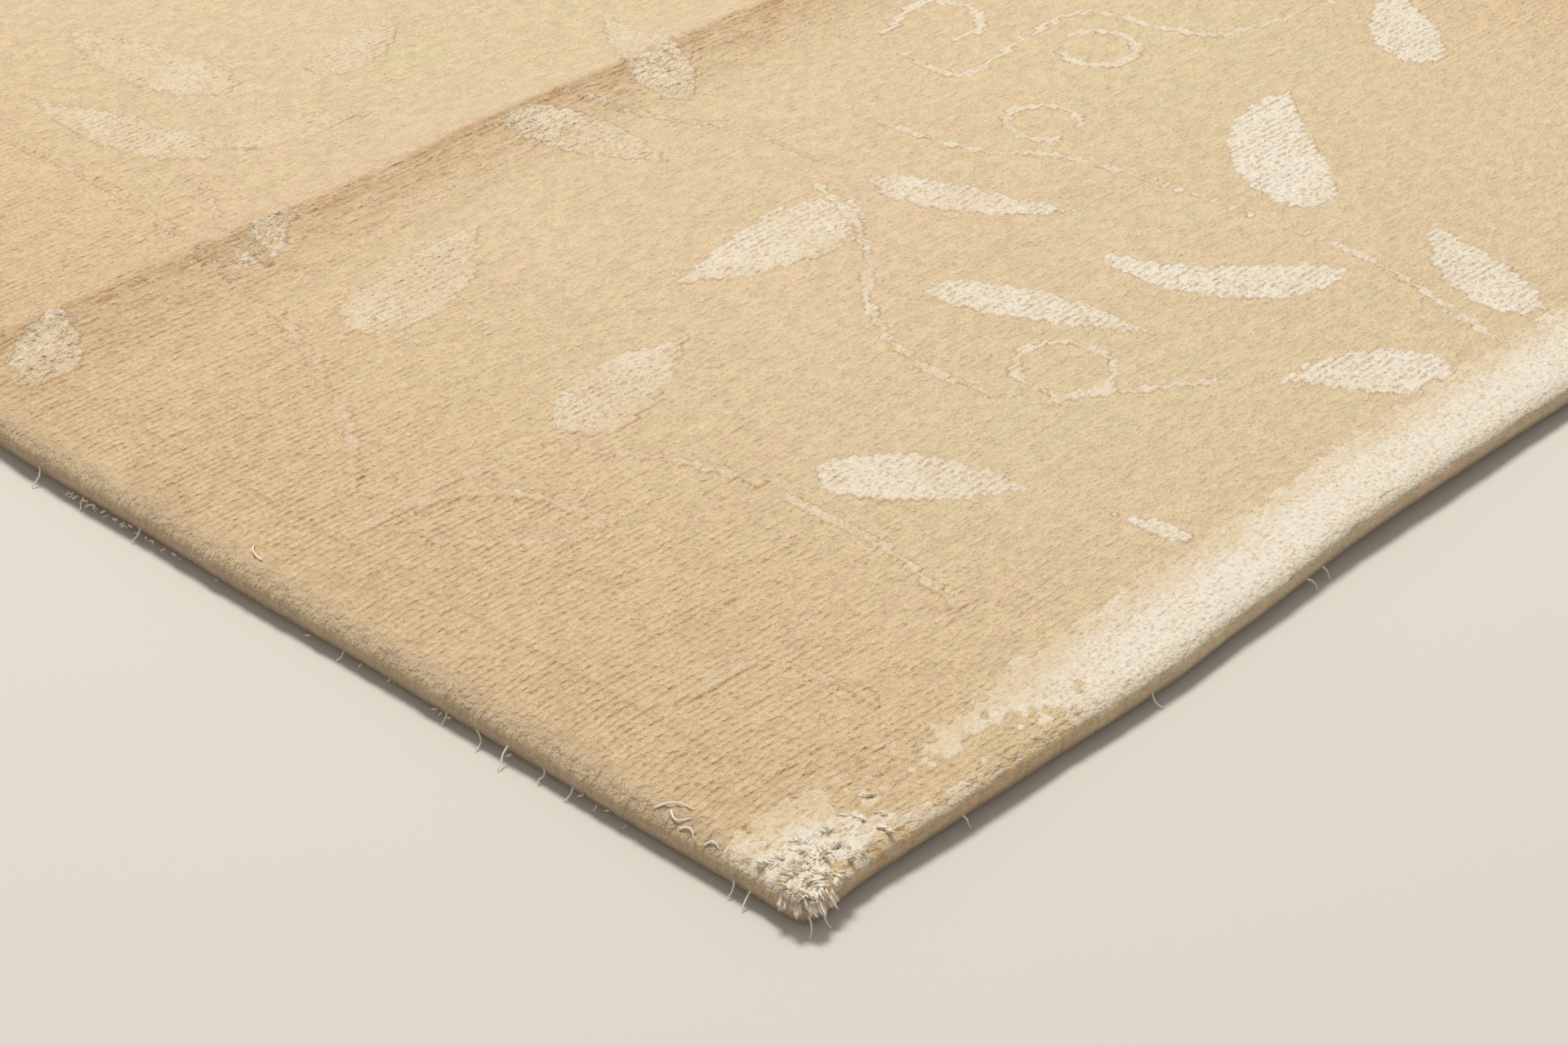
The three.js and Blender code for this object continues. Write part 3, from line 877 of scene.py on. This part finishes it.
def silk_sheet(name, part, gap_depth, rows_seen, carved, least, seed):
    """The silk pile over all the knots of one part, as one closed skin.

    The rows show in it by rows_seen, in relief and in painted shade, and its outline is painted
    with the shaded brown of a carved groove by so much. Where its painted tone is near the wool's,
    only the least share of it shows as silk.
    """
    draw = np.random.default_rng(seed)

    def fine(values):
        return np.repeat(np.repeat(values, SUB_Y, axis=0), SUB_X, axis=1)

    silk_cells = fine(part)
    cells = ~grown(~grown(grown(silk_cells)))
    silk_round = round_stations(silk_cells)
    used = round_stations(cells) > 0
    inner = round_stations(cells) == 4
    stands = round_stations(fine(np.where(part, height_of, 0))) / 4
    shade = round_stations(fine(np.where(part, tone, 0))) / np.maximum(silk_round, 1)
    share = silk_round / 4
    share = np.where(inner, share, np.minimum(share, 0.5)) * soft_step(
        np.minimum(fine_y, LENGTH - fine_y), -0.6, 1.4
    )
    outline = share

    fleck = draw.uniform(-1, 1, fine_x.shape)
    fleck = 0.6 * fleck + 0.4 * np.roll(fleck, 1, axis=1)
    opening = draw.uniform(0, 1, fine_x.shape)
    opening = (opening + np.roll(opening, 1, axis=1)) / 2
    opening = soft_step(opening + 0.25 * uneven(fine_x, fine_y, 14, 9, seed + 2), 0.3, 0.8)
    share = share * (least + (1 - least) * np.clip(2 * shade, 0, 1))
    crush = crushed_here(fine_x, fine_y)
    clumps = uneven(fine_x, fine_y, 2.7, 1.8, seed + 5) + 0.3 * fleck
    low = between_rows * gap_depth * (0.3 + 0.7 * opening) + 0.05 * between_knots - 0.75 * crush * clumps
    rough = (0.14 + 0.35 * ruffled(fine_y)) * fleck
    lift = stands + outline * (rough - low) - BORDER_DIP * (1 - outline) ** 2
    # Painted shade: the gaps between rows and the low flecks are darkened
    hollow = (between_rows * (0.2 + 0.7 * opening) + 0.45 * np.clip(-fleck, 0, 1)) * rows_seen
    # Painted shadow for the groove: darkest at the border, and more on the near side of a shape, where its
    # raised edge casts a shadow
    uphill = np.diff(outline, axis=0)
    nearer = np.pad(uphill, ((0, 1), (0, 0))) + np.pad(uphill, ((1, 0), (0, 0)))
    groove = np.clip(carved * 4 * outline * (1 - outline) * (0.5 + 0.5 * np.clip(2 * nearer, 0, 1)), 0, 1)
    # Partly random tone, partly painted light: the silk is painted paler where flecks and crushed clumps
    # stand higher
    shade = shade + 0.2 * fleck + draw.uniform(-0.14, 0.14, fine_x.shape) + 0.5 * crush * clumps

    x = np.clip(fine_x + draw.uniform(-0.3, 0.3, fine_x.shape), 0, WIDTH)
    y = fine_y + 0.4 * uneven(fine_x, fine_y, 7, 2.4, seed + 1) + draw.uniform(-0.15, 0.15, fine_x.shape)
    y = np.clip(y, 0, LENGTH)
    top_of_silk = on_pile(x[used], y[used], lift[used])[0]
    under_silk = on_pile(x[used], y[used], np.full(used.sum(), -BORDER_DIP - SILK_DEPTH))[0]

    count = int(used.sum())
    index = np.full(used.shape, -1)
    index[used] = np.arange(count)
    a, b = index[:-1, :-1][cells], index[:-1, 1:][cells]
    c, d = index[1:, 1:][cells], index[1:, :-1][cells]
    faces = quads(a, b, c, d) + quads(d + count, c + count, b + count, a + count)
    # The border: where a cell has silk and its neighbour has none
    solid = np.pad(cells, 1)
    here = solid[1:-1, 1:-1]
    borders = [
        (here & ~solid[:-2, 1:-1], index[:-1, :-1], index[:-1, 1:]),
        (here & ~solid[1:-1, 2:], index[:-1, 1:], index[1:, 1:]),
        (here & ~solid[2:, 1:-1], index[1:, 1:], index[1:, :-1]),
        (here & ~solid[1:-1, :-2], index[1:, :-1], index[:-1, :-1]),
    ]
    for edge, start, end in borders:
        start, end = start[edge], end[edge]
        faces += quads(start + count, end + count, end, start)

    mesh = bpy.data.meshes.new(name)
    points = np.concatenate([top_of_silk, under_silk])
    mesh.from_pydata(((points + CORNER) * MM).tolist(), [], faces)
    number_layer(mesh, "silk", np.tile(share[used], 2))
    number_layer(mesh, "shade", np.tile(np.clip(shade[used], 0, 1), 2))
    number_layer(mesh, "hollow", np.tile(hollow[used], 2))
    number_layer(mesh, "groove", np.tile(groove[used], 2))
    lay_flat_map(mesh, np.tile(np.stack([x[used], y[used]], -1), (2, 1)))
    mesh.materials.append(silk_finish)
    mesh.shade_smooth()
    return mesh


def wear(mesh):
    """Makes a mesh a piece that rides with the rug and stands for its cloth."""
    piece = new_piece(mesh.name, mesh)
    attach(piece, "root")
    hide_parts("rug")
    return piece


silk_finish = silk()
loose_finish = loose_silk()
tied_here = ~np.isnan(tone)
of_leaf = tied_here & ~in_band & (height_of == LEAF_HEIGHT)
of_stem = tied_here & ~in_band & (height_of != LEAF_HEIGHT)
SilkPart = namedtuple("SilkPart", "name knots gap_depth rows_seen carved least seed")
for part in [
    SilkPart("silk_end_bands", tied_here & in_band, 0.14, 0.45, 0.1, 1.0, 51),
    SilkPart("silk_leaves", of_leaf & ~of_spray, 0.4, 1.0, 1.2, 0.7, 61),
    SilkPart("silk_spray_leaves", of_leaf & of_spray, 0.4, 1.0, 1.2, 0.7, 61),
    SilkPart("silk_stems", of_stem, 0.2, 0.6, 1.8, 0.45, 71),
]:
    wear(silk_sheet(*part))


# Fibre that isn't clipped level: along both sides of the rug the pile splays out in short single
# fibres, which stick out every way from the rolled edge.
def add_input(group, name, kind, default):
    socket = group.interface.new_socket(name, in_out="INPUT", socket_type=kind)
    if default is not None:
        socket.default_value = default


def lock_nodes():
    """A tapered, bent lock of fibre on each point, along the point's own direction."""
    tree = bpy.data.node_groups.new("locks of fibre", "GeometryNodeTree")
    add_input(tree, "Geometry", "NodeSocketGeometry", None)
    add_input(tree, "Length", "NodeSocketFloat", 2.0 * MM)
    add_input(tree, "Thickness", "NodeSocketFloat", 0.4 * MM)
    add_input(tree, "Blunt", "NodeSocketFloat", 3.0)
    add_input(tree, "Bend", "NodeSocketFloat", 0.5 * MM)
    add_input(tree, "Sides", "NodeSocketInt", 3)
    add_input(tree, "Steps", "NodeSocketInt", 2)
    add_input(tree, "Turn", "NodeSocketFloat", 0.4)
    add_input(tree, "Spread", "NodeSocketFloat", 0.3)
    add_input(tree, "Seed", "NodeSocketInt", 1)
    add_input(tree, "Material", "NodeSocketMaterial", None)
    tree.interface.new_socket("Geometry", in_out="OUTPUT", socket_type="NodeSocketGeometry")
    given = node(tree, "NodeGroupInput").outputs

    half = maths(tree, "MULTIPLY", given["Thickness"], 0.5)
    lock = node(
        tree,
        "GeometryNodeMeshCone",
        {
            "Vertices": given["Sides"],
            "Side Segments": given["Steps"],
            "Radius Top": half,
            "Radius Bottom": half,
            "Depth": given["Length"],
        },
    ).outputs["Mesh"]
    height = node(tree, "ShaderNodeSeparateXYZ", {0: node(tree, "GeometryNodeInputPosition").outputs[0]})
    share = maths(tree, "DIVIDE", height.outputs["Z"], given["Length"])
    bend = maths(tree, "MULTIPLY", maths(tree, "MULTIPLY", share, share), given["Bend"])
    # The lock narrows to its tip, all the later the blunter it is
    narrowed = maths(tree, "MULTIPLY", maths(tree, "POWER", share, given["Blunt"]), 0.93)
    narrowed = maths(tree, "SUBTRACT", maths(tree, "SQRT", maths(tree, "SUBTRACT", 1.0, narrowed)), 1.0)
    offset = node(
        tree,
        "ShaderNodeCombineXYZ",
        {
            0: maths(tree, "MULTIPLY_ADD", height.outputs["X"], narrowed, bend),
            1: maths(tree, "MULTIPLY", height.outputs["Y"], narrowed),
        },
    ).outputs[0]
    lock = node(tree, "GeometryNodeSetPosition", {"Geometry": lock, "Offset": offset}).outputs[0]
    lock = node(tree, "GeometryNodeSetShadeSmooth", {"Geometry": lock}).outputs[0]

    def attribute(name):
        made = node(tree, "GeometryNodeInputNamedAttribute", {"Name": name}, data_type="FLOAT_VECTOR")
        return made.outputs["Attribute"]

    def even(value):
        return node(tree, "ShaderNodeCombineXYZ", {0: value, 1: value, 2: value}).outputs[0]

    def random(low, high, seed_step):
        seed = maths(tree, "ADD", given["Seed"], seed_step)
        inputs = {0: even(low), 1: even(high), "Seed": seed}
        return node(tree, "FunctionNodeRandomValue", inputs, data_type="FLOAT_VECTOR").outputs[0]

    facing = node(
        tree,
        "FunctionNodeAxesToRotation",
        {"Primary Axis": attribute("aim"), "Secondary Axis": attribute("run")},
        primary_axis="Z",
        secondary_axis="X",
    ).outputs[0]
    turn = random(maths(tree, "MULTIPLY", given["Turn"], -1.0), given["Turn"], 1)
    turn = node(tree, "FunctionNodeEulerToRotation", {0: turn}).outputs[0]
    facing = node(
        tree, "FunctionNodeRotateRotation", {"Rotation": facing, "Rotate By": turn}, rotation_space="LOCAL"
    ).outputs[0]
    smallest = maths(tree, "SUBTRACT", 1.0, given["Spread"])
    largest = maths(tree, "ADD", 1.0, given["Spread"])
    scale = random(smallest, largest, 2)
    dots = node(tree, "GeometryNodeMeshToPoints", {"Mesh": given["Geometry"]}).outputs[0]
    inputs = {"Points": dots, "Instance": lock, "Rotation": facing, "Scale": scale}
    placed = node(tree, "GeometryNodeInstanceOnPoints", inputs).outputs[0]
    real = node(tree, "GeometryNodeRealizeInstances", {"Geometry": placed}).outputs[0]
    inputs = {"Geometry": real, "Material": given["Material"]}
    real = node(tree, "GeometryNodeSetMaterial", inputs).outputs[0]
    node(tree, "NodeGroupOutput", {0: real})
    return tree


lock_tree = lock_nodes()


def locks(name, x, y, places, aim, run, shade, material, **sizes):
    """Grows a lock on each place, and returns them as one plain mesh."""
    seeds = bpy.data.meshes.new(name + "_roots")
    seeds.from_pydata(((places + CORNER) * MM).tolist(), [], [])
    vectors = {"aim": aim, "run": run, "place": np.stack([x, y, 0 * x], -1)}
    for label, values in vectors.items():
        layer = seeds.attributes.new(label, "FLOAT_VECTOR", "POINT")
        layer.data.foreach_set("vector", values.astype(np.float32).ravel())
    number_layer(seeds, "shade", shade)
    holder = new_piece(name + "_roots", seeds)
    grower = holder.modifiers.new("locks", "NODES")
    grower.node_group = lock_tree
    items = [item for item in lock_tree.interface.items_tree if item.in_out == "INPUT"]
    sockets = {item.name: item.identifier for item in items}
    for label, value in {**sizes, "Material": material}.items():
        grower[sockets[label]] = value
    evaluated = holder.evaluated_get(bpy.context.evaluated_depsgraph_get())
    mesh = bpy.data.meshes.new_from_object(evaluated)
    mesh.name = name
    bpy.data.objects.remove(holder)
    bpy.data.meshes.remove(seeds)

    flat = np.zeros(len(mesh.vertices) * 3, np.float32)
    mesh.attributes["place"].data.foreach_get("vector", flat)
    lay_flat_map(mesh, flat.reshape(-1, 3)[:, :2])
    for label in vectors:
        mesh.attributes.remove(mesh.attributes[label])
    return mesh


def round_the_edge(count, draw):
    """Random places along the four edges, and the direction out of the rug there."""
    perimeter = 2 * (WIDTH + LENGTH)
    s = draw.uniform(0, perimeter, count)
    legs = np.array([0, WIDTH, WIDTH + LENGTH, 2 * WIDTH + LENGTH, perimeter])
    leg = np.searchsorted(legs, s, side="right") - 1
    t = s - legs[leg]
    x = np.choose(leg, [t, np.full(count, WIDTH), WIDTH - t, np.zeros(count)])
    y = np.choose(leg, [np.zeros(count), t, np.full(count, LENGTH), LENGTH - t])
    outward = np.array([(0, -1, 0), (1, 0, 0), (0, 1, 0), (-1, 0, 0)], float)[leg]
    return x, y, outward


def unit(vectors):
    return vectors / np.linalg.norm(vectors, axis=-1, keepdims=True)


def bundled(x, y, places, aim, run, count, apart, stray, draw):
    """Makes a bundle of so many locks out of each, a little apart and straying a little."""
    x, y, places, aim, run = [np.repeat(values, count, axis=0) for values in (x, y, places, aim, run)]
    places = places + draw.normal(0, apart, places.shape) * [1, 1, 0.5]
    return x, y, places, unit(aim + draw.normal(0, stray, aim.shape)), run


# The fibres are drawn all round the edge and kept on the two sides
RIM_FIBRES, RIM_REACH, FIBRE_ROOT = 11000, 4.5, -0.5
draw = np.random.default_rng(71)
x, y, outward = round_the_edge(RIM_FIBRES, draw)
inset = RIM_REACH * draw.random(len(x)) ** 1.3
x, y = x - outward[:, 0] * inset, y - outward[:, 1] * inset
on_side = outward[:, 0] != 0
x, y, outward = x[on_side], y[on_side], outward[on_side]
places, out, _ = on_pile(x, y, np.full(len(x), FIBRE_ROOT))
aim = unit(0.8 * out + 0.3 * outward + [0, 0, -0.3] + draw.uniform(-0.6, 0.6, out.shape))
wear(locks(
    "rim_fibre", x, y, places, aim, out, draw.uniform(-0.6, 0.65, len(x)), loose_finish,
    Length=1.2 * MM, Thickness=0.22 * MM, Blunt=1.0, Bend=0.5 * MM, Turn=0.3, Spread=0.35, Seed=7,
))

# Crushed silk on the near left corner: the cut pile lies over in tufts, each of them a bundle of
# locks that point nearly one way.
LOCKS_A_TUFT = 9
Crushed = namedtuple("Crushed", "centre_x centre_y reach_x reach_y count")
CRUSHED = [
    Crushed(7, 5, 20, 12, 105),
    Crushed(30, 9, 24, 10, 14),
]
spots = []
for area in CRUSHED:
    off = draw.normal(0, 0.42, (area.count, 2)) * [area.reach_x, area.reach_y]
    spots.append(off + [area.centre_x, area.centre_y])
spots = np.concatenate(spots)
spots = spots[(spots > 0.8).all(axis=1)]
of_silk = tied_here[(spots[:, 1] / ROW).astype(int), (spots[:, 0] / KNOT).astype(int)]
x, y = spots[of_silk | (spots.max(axis=1) < 10)].T
places, out, run = on_pile(x, y, np.full(len(x), 0.1))
aim = unit(0.14 * out + draw.uniform(-1, 1, out.shape) * [1, 1, 0.12])
shade = np.repeat(draw.uniform(0.6, 1.1, len(x)), LOCKS_A_TUFT)
x, y, places, aim, run = bundled(x, y, places, aim, run, LOCKS_A_TUFT, 0.38, 0.09, draw)
wear(locks(
    "crushed_silk", x, y, places, aim, run, shade, loose_finish,
    Length=2.3 * MM, Thickness=0.72 * MM, Blunt=4.0, Bend=0.6 * MM,
    Sides=4, Steps=2, Turn=0.15, Spread=0.2, Seed=9,
))

# Thicker tufts of the same silk, which have come loose from the corner and hang down over it.
# Each is a bundle of longer locks.
LOCKS_A_HANGING_TUFT = 16
tuft_x = np.array([0.8, 2.2, 4.5, 0.8, 8.5, 1.4])
tuft_y = np.array([3.5, 1.0, 0.8, 8.5, 0.8, 1.6])
places, out, run = on_pile(tuft_x, tuft_y, np.full(len(tuft_x), -0.6))
aim = unit(0.6 * out + [-0.15, -0.15, -0.9] + draw.uniform(-0.3, 0.3, out.shape))
tuft_x, tuft_y, places, aim, run = bundled(
    tuft_x, tuft_y, places, aim, run, LOCKS_A_HANGING_TUFT, 0.45, 0.05, draw
)
wear(locks(
    "corner_tufts", tuft_x, tuft_y, places, aim, run, draw.uniform(0.7, 1.0, len(tuft_x)), loose_finish,
    Length=3.1 * MM, Thickness=0.74 * MM, Blunt=3.0, Bend=0.8 * MM,
    Sides=5, Steps=4, Turn=0.1, Spread=0.3, Seed=23,
))

# Bits of fluff that hang under the left edge, where the silk has frayed: most of them in one
# stretch, and a few further on.
fluff_y = np.concatenate([draw.normal(252, 12, 30), draw.normal(120, 60, 14), draw.uniform(330, 900, 16)])
fluff_y = np.clip(fluff_y, 12, LENGTH - 12)
fluff_x = np.full(len(fluff_y), 0.6)
places = laid(fluff_x, fluff_y, draw.uniform(1.8, 3.2, len(fluff_y)))
aim = unit(np.array([-1.0, 0, -0.5]) + draw.uniform(-0.7, 0.7, places.shape))
run = np.tile([0.0, 1.0, 0.0], (len(fluff_y), 1))
wear(locks(
    "edge_fluff", fluff_x, fluff_y, places, aim, run, draw.uniform(0.5, 1.0, len(fluff_y)), loose_finish,
    Length=1.3 * MM, Thickness=0.5 * MM, Blunt=3.0, Bend=0.6 * MM,
    Sides=5, Steps=3, Turn=0.6, Spread=0.5, Seed=13,
))

# Loose ends of cream yarn. Most hang out of the edges down to the floor, and a few lie on the
# pile near the corner. Those on the two near edges are about where the view shows them.
LooseEnd = namedtuple("LooseEnd", "x y heading length curl height")
LOOSE_ENDS = [
    LooseEnd(-1, 281, 205, 4.5, 1.2, 5.0),
    LooseEnd(-1, 262, 215, 2.5, -0.8, 2.6),
    LooseEnd(-1, 238, 178, 2.5, 1.0, 3.6),
    LooseEnd(-1, 158, 190, 2.0, 0.5, 2.0),
    LooseEnd(-1, 120, 200, 2.0, 0.8, 2.6),
    LooseEnd(-1, 110, 225, 5.5, 2.0, 2.6),
    LooseEnd(-1, 97, 195, 5.5, -0.8, 5.2),
    LooseEnd(-1, 86, 195, 2.5, 1.0, 3.0),
    LooseEnd(-1, 76, 188, 3.0, 0.8, 3.0),
    LooseEnd(-1, 24, 200, 2.8, 0.8, 4.0),
    LooseEnd(-1, 18, 190, 3.5, -0.8, 4.0),
    LooseEnd(1, -1, 232, 3.5, 0.8, 4.6),
    LooseEnd(7, -1, 262, 2.5, -1.0, 4.0),
    LooseEnd(54, -1, 280, 2.0, 0.8, 3.6),
    LooseEnd(123, -1, 262, 3.0, -1.2, 3.4),
    LooseEnd(189, -1, 282, 2.8, 1.4, 3.0),
    LooseEnd(196, -1, 268, 2.0, 0.8, 3.4),
    LooseEnd(330, -1, 255, 6.0, 1.2, 3.2),
    LooseEnd(470, -1, 275, 5.0, -1.0, 3.2),
    LooseEnd(611, 160, 10, 6.0, 1.2, 3.2),
    LooseEnd(611, 420, -8, 7.0, -1.2, 3.0),
    LooseEnd(611, 705, 4, 5.0, 1.0, 3.2),
    LooseEnd(-1, 470, 188, 6.0, 1.0, 3.2),
    LooseEnd(-1, 640, 176, 5.0, -1.2, 3.0),
    LooseEnd(150, 915, 96, 6.0, 1.2, 3.0),
    LooseEnd(410, 915, 84, 7.0, -1.4, 3.2),
]
Laid = namedtuple("Laid", "x y heading length curl")
LAID_ENDS = [
    Laid(2.5, 50, -60, 10, 1.2),
    Laid(4.0, 46, -80, 6, -2.0),
    Laid(1.5, 41, -95, 5, 1.2),
    Laid(7.0, 194, 60, 8, 1.5),
    Laid(1.2, 33, -80, 4, 1.0),
]
YARN_RADIUS, YARN_SIDES, YARN_STEPS = 0.34, 6, 14


def yarn(line, radius):
    """A closed round yarn along a line of points, as points and faces."""
    ahead = unit(np.gradient(line, axis=0))
    left = unit(np.cross(ahead, [0.03, 0.02, 1.0]))
    up = np.cross(left, ahead)
    turns = np.arange(YARN_SIDES) * 2 * np.pi / YARN_SIDES
    thin = radius * np.linspace(1, 0.45, len(line))[:, None, None]
    circle = left[:, None] * np.cos(turns)[None, :, None] + up[:, None] * np.sin(turns)[None, :, None]
    points = (line[:, None] + thin * circle).reshape(-1, 3)
    faces = [list(range(YARN_SIDES)), list(range(len(points) - 1, len(points) - 1 - YARN_SIDES, -1))]
    for k in range(len(line) - 1):
        for s in range(YARN_SIDES):
            a, b = k * YARN_SIDES + s, k * YARN_SIDES + (s + 1) % YARN_SIDES
            faces.append([b, a, a + YARN_SIDES, b + YARN_SIDES])
    return points, faces


yarn_points, yarn_faces = [], []


def add_yarn(line):
    points, faces = yarn(line, YARN_RADIUS)
    start = sum(len(p) for p in yarn_points)
    yarn_points.append(points)
    yarn_faces.extend([[start + k for k in face] for face in faces])


t = np.linspace(0, 1, YARN_STEPS)[:, None]


def kinked():
    """A yarn end's own small kinks, growing towards its tip."""
    bends = draw.normal(0, 0.28, (5, 3)) * [1, 1, 0.35]
    return np.stack([np.interp(t[:, 0], np.linspace(0, 1, 5), bends[:, k]) for k in range(3)], -1) * t


for end in LOOSE_ENDS:
    heading = math.radians(end.heading)
    ahead = np.array([math.cos(heading), math.sin(heading), 0])
    side = np.array([-ahead[1], ahead[0], 0])
    root_x, root_y = np.clip(end.x, 1.5, WIDTH - 1.5), np.clip(end.y, 1.5, LENGTH - 1.5)
    root = laid(np.float64(root_x), np.float64(root_y), end.height)
    fall = np.array([0, 0, 1]) * (YARN_RADIUS + 0.05 - end.height)
    bow = side * 0.7 * end.curl * np.sin(math.pi * t)
    line = root + ahead * (end.length + 1) * t + bow + fall * t ** 1.2
    line = line + kinked()
    line[:, 2] = np.maximum(line[:, 2], YARN_RADIUS)
    add_yarn(line)
for end in LAID_ENDS:
    heading = math.radians(end.heading)
    ahead = np.array([math.cos(heading), math.sin(heading)])
    side = np.array([-ahead[1], ahead[0]])
    plan = [end.x, end.y] + ahead * end.length * t + side * end.curl * np.sin(math.pi * t)
    plan = np.maximum(plan, 0.4)
    add_yarn(on_pile(plan[:, 0], plan[:, 1], 0.55 * np.sin(math.pi * t[:, 0]) + 0.1)[0])
yarn_mesh = bpy.data.meshes.new("loose_yarn")
yarn_places = np.concatenate(yarn_points)
yarn_mesh.from_pydata(((yarn_places + CORNER) * MM).tolist(), [], yarn_faces)
number_layer(yarn_mesh, "shade", np.ones(len(yarn_places)))
lay_flat_map(yarn_mesh, yarn_places[:, :2])
yarn_mesh.materials.append(loose_finish)
yarn_mesh.shade_smooth()
wear(yarn_mesh)

# The floor, light and camera: a plain pale floor, one softbox above the rug and a little behind
# it, a pale room all round, and the camera low over the near left corner. Sizes are in metres.
FLOOR_HALF = 6.0
PALE_FLOOR = (0.65, 0.61, 0.55, 1)
floor_mesh = bpy.data.meshes.new("floor")
ways = [(-1, -1), (1, -1), (1, 1), (-1, 1)]
floor_corners = [(way_x * FLOOR_HALF, way_y * FLOOR_HALF, 0) for way_x, way_y in ways]
floor_mesh.from_pydata(floor_corners, [], [(0, 1, 2, 3)])
floor = new_piece("floor", floor_mesh)
floor_paint, _, floor_shader = new_material("pale floor", 0.9, 0.0, 0.5, PLAIN_SHEEN, 0.1)
floor_shader.inputs["Base Color"].default_value = PALE_FLOOR
floor_mesh.materials.append(floor_paint)

ROOM_COLOUR, ROOM_STRENGTH = (1.0, 0.985, 0.96, 1), 0.42
world = bpy.data.worlds.new("studio")
bpy.context.scene.world = world
world.use_nodes = True
world.node_tree.nodes["Background"].inputs["Color"].default_value = ROOM_COLOUR
world.node_tree.nodes["Background"].inputs["Strength"].default_value = ROOM_STRENGTH

SOFTBOX_PLACE, SOFTBOX_AIM = Vector((0.25, 0.45, 2.3)), Vector((0, -0.1, 0))
SOFTBOX_SIZE, SOFTBOX_POWER, SOFTBOX_COLOUR = 0.6, 53, (1.0, 0.975, 0.94)
lamp = bpy.data.lights.new("back softbox", "AREA")
lamp.shape = "SQUARE"
lamp.size = SOFTBOX_SIZE
lamp.energy = SOFTBOX_POWER
lamp.color = SOFTBOX_COLOUR
softbox = bpy.data.objects.new("back softbox", lamp)
bpy.context.scene.collection.objects.link(softbox)
softbox.location = SOFTBOX_PLACE
softbox.rotation_euler = (SOFTBOX_AIM - SOFTBOX_PLACE).to_track_quat("-Z", "Y").to_euler()

# The view: over the near left corner, looking 33.6 degrees down. The photo's width and focal
# length are in its own pixels, and the eye's place from the corner is in millimetres.
PHOTO_WIDTH, PHOTO_FOCAL = 1920, 4112
SENSOR = 36
EYE_FROM_CORNER = (-419, -394, 494.4)
HEADING, DOWN = math.radians(-46.2), math.radians(33.61)
camera = bpy.data.objects.new("camera", bpy.data.cameras.new("camera"))
bpy.context.scene.collection.objects.link(camera)
camera.data.sensor_width = SENSOR
camera.data.lens = PHOTO_FOCAL / PHOTO_WIDTH * SENSOR
camera.location = (Vector(EYE_FROM_CORNER) + Vector(CORNER)) * MM
camera.rotation_euler = (math.pi / 2 - DOWN, 0, HEADING)
bpy.context.scene.camera = camera
bpy.context.scene.view_settings.view_transform = "Standard"
